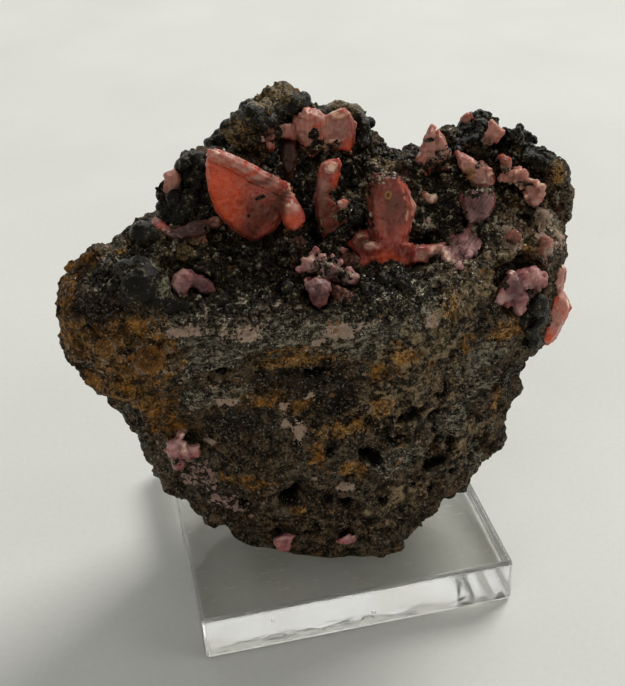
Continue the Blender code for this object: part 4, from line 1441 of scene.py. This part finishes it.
# %% Cut the fan
column = [(461, 196), (466, 192), (480, 190), (494, 187), (495, 205), (487, 223), (470, 226), (463, 210)]
fan_roots = [(467, 228), (470, 226), (473, 226), (476, 227), (479, 228), (482, 231)]
fan_tips = [(440, 251), (444, 263), (451, 270), (462, 266), (471, 257), (481, 245)]
fan_body = [
    (467, 228), (482, 230), (481, 245), (471, 257), (462, 266), (451, 270), (444, 263), (440, 251),
    (449, 240),
]
fan_blades = []
for blade in range(5):
    outline = [fan_roots[blade], fan_roots[blade + 1], fan_tips[blade + 1], fan_tips[blade]]
    fan_blades.append(((474, 226, -7.6 - 0.5 * (blade % 2), 0, -0.24), pebble(outline, 1.2, 4, 0.8)))
fan_down = seen_at(450, 268, -12) - seen_at(478, 228, -12)
cut_crystal(
    "fan_crystal", lilac,
    [
        ((478, 194, -6.5, 0, -0.02), pebble(column, 2.2, 3)),
        ((474, 226, -7.6, 0, -0.24), pebble(fan_body, 0.6, 4, 0.92)),
    ] + fan_blades + nuggets([(446, 258, 4), (458, 266, 4), (452, 238, 4)]),
    {
        "stepped": [(478, 205, 4, 5), (462, 248, 5, 6), (455, 258, 4, 4), (472, 245, 3, 5)],
        "pale": [
            (450, 256, 1.2, 3.4), (473, 248, 2.4, 4), (457, 264, 1, 2), (484, 205, 2, 4), (474, 212, 2, 3),
        ],
        "painted_highlight": [(447, 256, 0.5, 2), (478, 236, 0.7, 0.6), (455, 247, 0.4, 2)],
        "smoky": [(458, 250, 1.2, 4), (466, 258, 0.8, 2), (477, 206, 3, 3.4)],
        "crusted": [(478, 192, 4, 0.8), (480, 226, 3, 0.7), (462, 214, 0.8, 2.4), (466, 268, 1.4, 0.8)],
    },
    Across=tuple(fan_down.cross(backward).normalized()), Step=0.9, Rise=0.45,
)

# %% Cut the mass on the right face
side_top = [(511, 271), (523, 270), (534, 266), (546, 272), (548, 284), (539, 292), (524, 292), (512, 284)]
side_left = [(504, 278), (511, 270), (524, 276), (522, 296), (508, 308), (490, 302), (504, 296), (508, 288)]
side_low = [(508, 296), (524, 290), (534, 293), (530, 304), (527, 314), (518, 317), (512, 309)]
cut_crystal(
    "side_mass_crystal", lilac,
    [
        ((530, 280, -17.5), pebble(side_top, 3.0, 6, 0.6)),
        ((508, 288, -19.5), pebble(side_left, 2.6, 6, 0.6)),
        ((519, 304, -18.8), pebble(side_low, 2.8, 6, 0.6)),
    ] + nuggets([
        (535, 273, 7), (542, 282, 6), (512, 276, 6), (500, 302, 5), (520, 311, 5), (526, 284, 7),
        (512, 292, 6),
    ], (520, 285, -20.4, 0.08, 0), 0),
    {
        "pale": [
            (500, 300, 4, 1.4), (538, 274, 2, 1.4), (510, 275, 2, 2), (524, 288, 2, 2), (518, 312, 2, 1.6),
        ],
        "smoky": [(516, 292, 2, 4), (532, 290, 2.4, 2)],
        "painted_highlight": [(511, 272, 0.8, 0.4)],
        "crusted": [(530, 300, 1, 2), (506, 284, 0.9, 1.4), (540, 292, 2, 0.8)],
    },
    Ripple=0.22,
)

# %% Cut the small crystal on the left
small_left = [
    (164, 175), (167, 172), (173, 169), (180, 173), (181, 180), (178, 190), (174, 198), (167, 198),
    (165, 186),
]
cut_crystal(
    "left_crystal", red, [((172, 182, 0.2), pebble(small_left, 1.8, 5, 0.6))],
    {"pale": [(170, 180, 3, 5), (170, 190, 3, 3)], "crusted": [(178, 192, 1, 2)]},
)

# %% [markdown]
# ## Smoky crystals that lie on the stone
#
# Some crystals are half sunk in the rock. Three points of the view give the plane of the stone there, and
# the crystal is built on that plane, so it sits on the rock from every side.

# %% Cut the smoky crystals


def on_stone(points, lift):
    """The plane that lies on the stone at three points of the view, raised by a lift in millimetres."""
    depths = Vector([grown.strike(u, v)[0].y / MM - lift for u, v in points])
    per_u, per_v, start = Matrix([(u, v, 1.0) for u, v in points]).inverted() @ depths
    return (0, 0, start, per_u, per_v)


ridge_left = [(151, 219), (157, 217), (165, 225), (174, 232), (184, 238), (170, 239), (159, 231), (152, 225)]
ridge_right = [(171, 232), (184, 226), (196, 220), (206, 219), (212, 224), (208, 233), (196, 238), (182, 239)]
ridge_end = [(208, 220), (213, 216), (219, 216), (222, 221), (219, 228), (210, 228)]
prism = [(281, 139), (289, 136), (297, 140), (298, 152), (296, 168), (292, 181), (283, 178), (279, 160)]
small_prism = [(266, 142), (270, 139), (275, 142), (275, 150), (269, 152)]
smoky_crystals = cut_crystal(
    "limonite_matrix", red,
    [
        (on_stone([(158, 226), (180, 226), (176, 236)], 1.8), pebble(ridge_left, 1.0, 5, 0.7)),
        (on_stone([(180, 228), (206, 225), (194, 236)], 2.0), pebble(ridge_right, 1.2, 5, 0.66)),
        (on_stone([(211, 219), (219, 219), (214, 227)], 2.0), pebble(ridge_end, 1.2, 4, 0.6)),
        (on_stone([(284, 142), (295, 142), (290, 174)], 0.8), pebble(prism, 1.4, 4, 0.6)),
        (on_stone([(267, 143), (274, 143), (270, 150)], 0.8), pebble(small_prism, 1.0, 3, 0.6)),
    ] + nuggets([(433, 199, 7), (426, 196, 5)]) + nuggets([
        (513, 237, 10), (546, 244, 8), (542, 251, 6),
    ], None, 0.2),
    {
        "smoky": [
            (180, 233, 4, 2), (196, 229, 5, 3), (287, 158, 3, 7), (290, 176, 3, 3), (206, 232, 3, 2),
            (168, 228, 2, 2),
            (514, 238, 2, 2), (543, 248, 2, 3),
        ],
        "murk": [
            (176, 234, 3, 1.6), (188, 231, 3, 2), (202, 229, 3, 2), (287, 150, 2.4, 4), (289, 168, 2.4, 4),
            (510, 242, 2, 0.8),
        ],
        "vivid_and_glow": [(162, 228, 1.6, 0.9)],
        "pale": [
            (154, 220, 1.4, 0.7), (196, 222, 4, 0.5), (216, 221, 2, 1.6), (270, 144, 1.4, 1.2),
            (283, 150, 0.5, 4), (432, 199, 2, 2),
            (513, 236, 2.4, 2.4), (545, 246, 2, 3),
        ],
        "painted_highlight": [(218, 218, 0.8, 0.6), (432, 197, 2, 1.2)],
        "blot": [(206, 229, 0.7, 0.5), (211, 231, 0.6, 0.6)],
        "crusted": [
            (212, 232, 2, 0.7), (297, 160, 0.7, 3), (506, 244, 1.2, 1), (520, 230, 1, 0.8),
            (438, 204, 1.4, 0.8),
        ],
    },
    Facets=0.25,
)
smoky_crystals.name = "smoky_crystals"

# %% Cut the lilac patches on the pocket's floor
arch_left = [(170, 284), (175, 274), (183, 269), (193, 272), (197, 284), (186, 290), (179, 298)]
arch_right = [(188, 271), (203, 276), (214, 286), (216, 295), (206, 294), (192, 286)]
cut_crystal(
    "lilac_patch_left", lilac,
    [
        ((182, 282, -21.0), pebble(arch_left, 1.6, 5, 0.86)),
        ((203, 283, -20.5), pebble(arch_right, 1.4, 5, 0.86)),
    ],
    {
        "pale": [(176, 284, 1.4, 3), (182, 271, 3, 0.8), (200, 275, 3, 0.7)],
        "smoky": [(198, 284, 3, 2)],
        "crusted": [(196, 292, 4, 0.8)],
    },
)
floor_one = [(302, 263), (310, 256), (320, 259), (324, 270), (314, 276), (303, 272)]
floor_two = [(318, 262), (334, 262), (346, 270), (340, 282), (326, 284), (316, 276)]
floor_three = [(338, 270), (350, 268), (361, 277), (356, 286), (343, 285)]
floor_four = [(304, 284), (316, 277), (332, 282), (331, 292), (327, 304), (319, 308), (310, 300)]
cut_crystal(
    "lilac_patch_centre", lilac,
    [
        ((312, 266, -20.0), pebble(floor_one, 1.4, 5, 0.6)),
        ((330, 273, -22.0), pebble(floor_two, 1.6, 6, 0.6)),
        ((350, 277, -22.5), pebble(floor_three, 1.4, 6, 0.6)),
        ((318, 290, -26.0), pebble(floor_four, 1.6, 7, 0.6)),
    ] + nuggets([
        (305, 262, 4), (312, 256, 4), (322, 258, 5), (332, 258, 4), (340, 262, 4), (348, 270, 4),
        (357, 276, 4),
        (330, 268, 5), (316, 268, 5), (308, 280, 5), (326, 278, 5), (316, 250, 4), (300, 270, 4),
        (343, 250, 4),
    ], (312, 266, -21.0, -0.04, -0.1), 0) + nuggets(
        [(312, 292, 6), (324, 288, 6), (318, 300, 6)], (318, 290, -27.4), 0,
    ),
    {
        "pale": [
            (306, 262, 2, 2), (324, 262, 3, 2), (350, 276, 3, 2), (316, 284, 2.4, 2), (340, 264, 2, 1.4),
        ],
        "painted_highlight": [(312, 258, 0.7, 0.6), (326, 264, 0.8, 0.5), (354, 274, 0.9, 0.7), (306, 282, 0.6, 0.6)],
        "smoky": [(317, 291, 3.4, 3.4), (334, 276, 2, 2)],
        "crusted": [(320, 268, 2.4, 1.6), (342, 276, 2, 1.6), (312, 276, 2.4, 1), (330, 262, 1.4, 1.2)],
    },
    Ripple=0.2,
)

# %% Cut the patches on the front face
patch_one = [(164, 450), (170, 441), (178, 437), (188, 441), (187, 453), (178, 460), (168, 457)]
patch_two = [(183, 444), (192, 448), (201, 445), (199, 456), (188, 462), (180, 456)]
patch_three = [(171, 456), (184, 458), (184, 468), (177, 471), (173, 468)]
cut_crystal(
    "front_patch", lilac,
    [
        ((177, 449, -24.4), pebble(patch_one, 1.0, 6)),
        ((191, 453, -24.6), pebble(patch_two, 1.0, 6)),
        ((178, 464, -23.2), pebble(patch_three, 1.0, 6)),
    ] + nuggets([
        (182, 435, 4), (172, 446, 6), (193, 450, 5), (178, 464, 5), (184, 453, 6),
    ], (180, 450, -25.4), 0),
    {
        "pale": [(176, 446, 3, 3), (183, 436, 2, 1.4), (194, 449, 2, 1)],
        "painted_highlight": [(184, 448, 0.5, 1), (182, 434, 0.6, 0.5)],
        "crusted": [(186, 460, 2.4, 0.8)],
    },
)
foot_one = [(273, 538), (285, 534), (296, 535), (290, 541), (288, 549), (279, 551), (275, 545)]
foot_two = [(336, 541), (346, 536), (357, 534), (355, 541), (345, 545)]
cut_crystal(
    "foot_patch_left",
    lilac,
    [((283, 542, -27.6), pebble(foot_one, 1.2, 6))],
    {"pale": [(284, 536, 2, 0.8)]},
)
cut_crystal(
    "foot_patch_right",
    lilac,
    [((346, 540, -30.4), pebble(foot_two, 1.0, 6))],
    {"pale": [(350, 537, 1.6, 0.8)]},
)

# %% [markdown]
# ## The display block
#
# The block is cast acrylic with flame-polished edges: clear, a little wavy at its sides, with hairline
# scratches on top. Glass needs a clean closed mesh, so it is a box with rounded edges whose flat faces
# keep flat normals. How clear it is and how it bends light are plain numbers on the shader.

# %% Make the display block
EDGE_RADIUS = 1.3

acrylic = Finish("acrylic", {"Transmission Weight": 0.94, "IOR": 1.49})
spot = acrylic.place
turned = {"Vector": spot, "Rotation": (0, 0, 0.5), "Scale": (1, 14, 1)}
hairlines = acrylic.rise(acrylic.noise(acrylic.add("ShaderNodeMapping", None, turned), 5, 3, 0.7), 0.64, 0.7)
smudges = acrylic.rise(acrylic.noise(spot, 14, 4, 0.6), 0.5, 0.7)
acrylic.feed("Base Color", acrylic.mix(smudges, tint(254, 254, 250), tint(240, 237, 226)))
near_side = acrylic.rise(acrylic.maths("ABSOLUTE", acrylic.part(spot, "X")) * A_METRE, 36.6, 37.6)
near_front = acrylic.rise(acrylic.maths("ABSOLUTE", acrylic.part(spot, "Y")) * A_METRE, 36.6, 37.6)
near_top = acrylic.rise(acrylic.part(spot, "Z") * A_METRE, 11.2, 12.2)
edges = near_side * near_front + (near_side + near_front) * near_top
acrylic.feed("Roughness", 0.02 + smudges * 0.14 + hairlines * 0.3 + edges * 0.35)
waves = acrylic.noise(spot, 7, 2) * (1 - near_top) * 2.2
acrylic.bump(acrylic.noise(spot, 16, 1) + waves + hairlines * 0.05, 0.03)

low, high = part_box("acrylic_base")
work = bmesh.new()
bmesh.ops.create_cube(work, size=1)
bmesh.ops.scale(work, vec=high - low, verts=work.verts)
bmesh.ops.translate(work, vec=(high + low) / 2, verts=work.verts)
clear_block = kept("clear_block", work)
bevel = clear_block.modifiers.new("rounded edges", "BEVEL")
bevel.width = EDGE_RADIUS * MM
bevel.segments = 5
bevel.harden_normals = True
clear_block.data.polygons.foreach_set("use_smooth", [True] * len(clear_block.data.polygons))
settle(clear_block)
clear_block.data.materials.append(acrylic.material)
print("block in mm:", [round(v / MM, 1) for v in high - low])

# %% [markdown]
# ## Floor and light
#
# The floor is plain and pale. A large soft lamp stands behind and to the right, as a window would, so
# the crystals glow with light from behind. A weaker lamp and an even sky keep the front readable.

# %% Lay the floor
FLOOR_HALF = 4
FLOOR_DROP = 0.1

floor_finish = Finish("pale_floor", {"Roughness": 0.9, "Specular IOR Level": 0.1})
weave = floor_finish.noise(
    floor_finish.place, 1.5, 2,
) * 0.4 + floor_finish.noise(floor_finish.place, 60, 3) * 0.6
floor_finish.feed("Base Color", floor_finish.mix(weave, tint(206, 206, 200), tint(228, 228, 222)))
work = bmesh.new()
bmesh.ops.create_grid(work, x_segments=1, y_segments=1, size=FLOOR_HALF)
bmesh.ops.translate(work, vec=(0, 0, -FLOOR_DROP * MM), verts=work.verts)
pale_floor = kept("pale_floor", work)
pale_floor.data.materials.append(floor_finish.material)
print("floor width in m:", 2 * FLOOR_HALF)

# %% Hang the lights
aim = Vector((0, 0, 60)) * MM


def soft_lamp(name, place, size, watts, colour):
    """A square softbox that faces the specimen."""
    lamp = bpy.data.lights.new(name, "AREA")
    lamp.size = size
    lamp.energy = watts
    lamp.color = colour
    holder = bpy.data.objects.new(name, lamp)
    bpy.context.scene.collection.objects.link(holder)
    holder.location = place
    holder.rotation_euler = (aim - Vector(place)).to_track_quat("-Z", "Y").to_euler()


soft_lamp("window", (2.3, 1.8, 2.9), 1.7, 132, (1.0, 1.0, 0.98))
soft_lamp("far_wall", (0.2, 3.2, 1.7), 3.2, 20, (1.0, 1.0, 1.0))
soft_lamp("room", (-1.4, -1.8, 1.6), 1.2, 7, (1.0, 0.97, 0.93))
soft_lamp("doorway", (2.2, -1.0, 1.3), 1.4, 10, (1.0, 0.98, 0.95))
sky = bpy.data.worlds.new("even_sky")
sky.use_nodes = True
glow = sky.node_tree.nodes["Background"].inputs
glow["Color"].default_value = (0.98, 0.99, 0.97, 1.0)
glow["Strength"].default_value = 0.31
bpy.context.scene.world = sky
bpy.context.scene.view_settings.view_transform = "Standard"
print("lamps:", len(bpy.data.lights))

# %% [markdown]
# ## Hand the pieces over
#
# Each piece rides on the part's one body, and the imported solid that it is made from is hidden, so
# that the piece stands in its place.

# %% Ride and replace
stone_pieces = [rock, rock_beads, rock_druse, rock_crumbs, rock_knobs, rock_buds, concretions, *crusts]
finished = [(piece, "limonite_matrix", "limonite") for piece in stone_pieces]
finished += [(piece, node, finish.name) for node, (piece, finish) in crystals.items()]
finished.append((clear_block, "acrylic_base", "acrylic"))
for piece, node, slot_name in finished:
    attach(piece, "root")
    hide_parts(node)
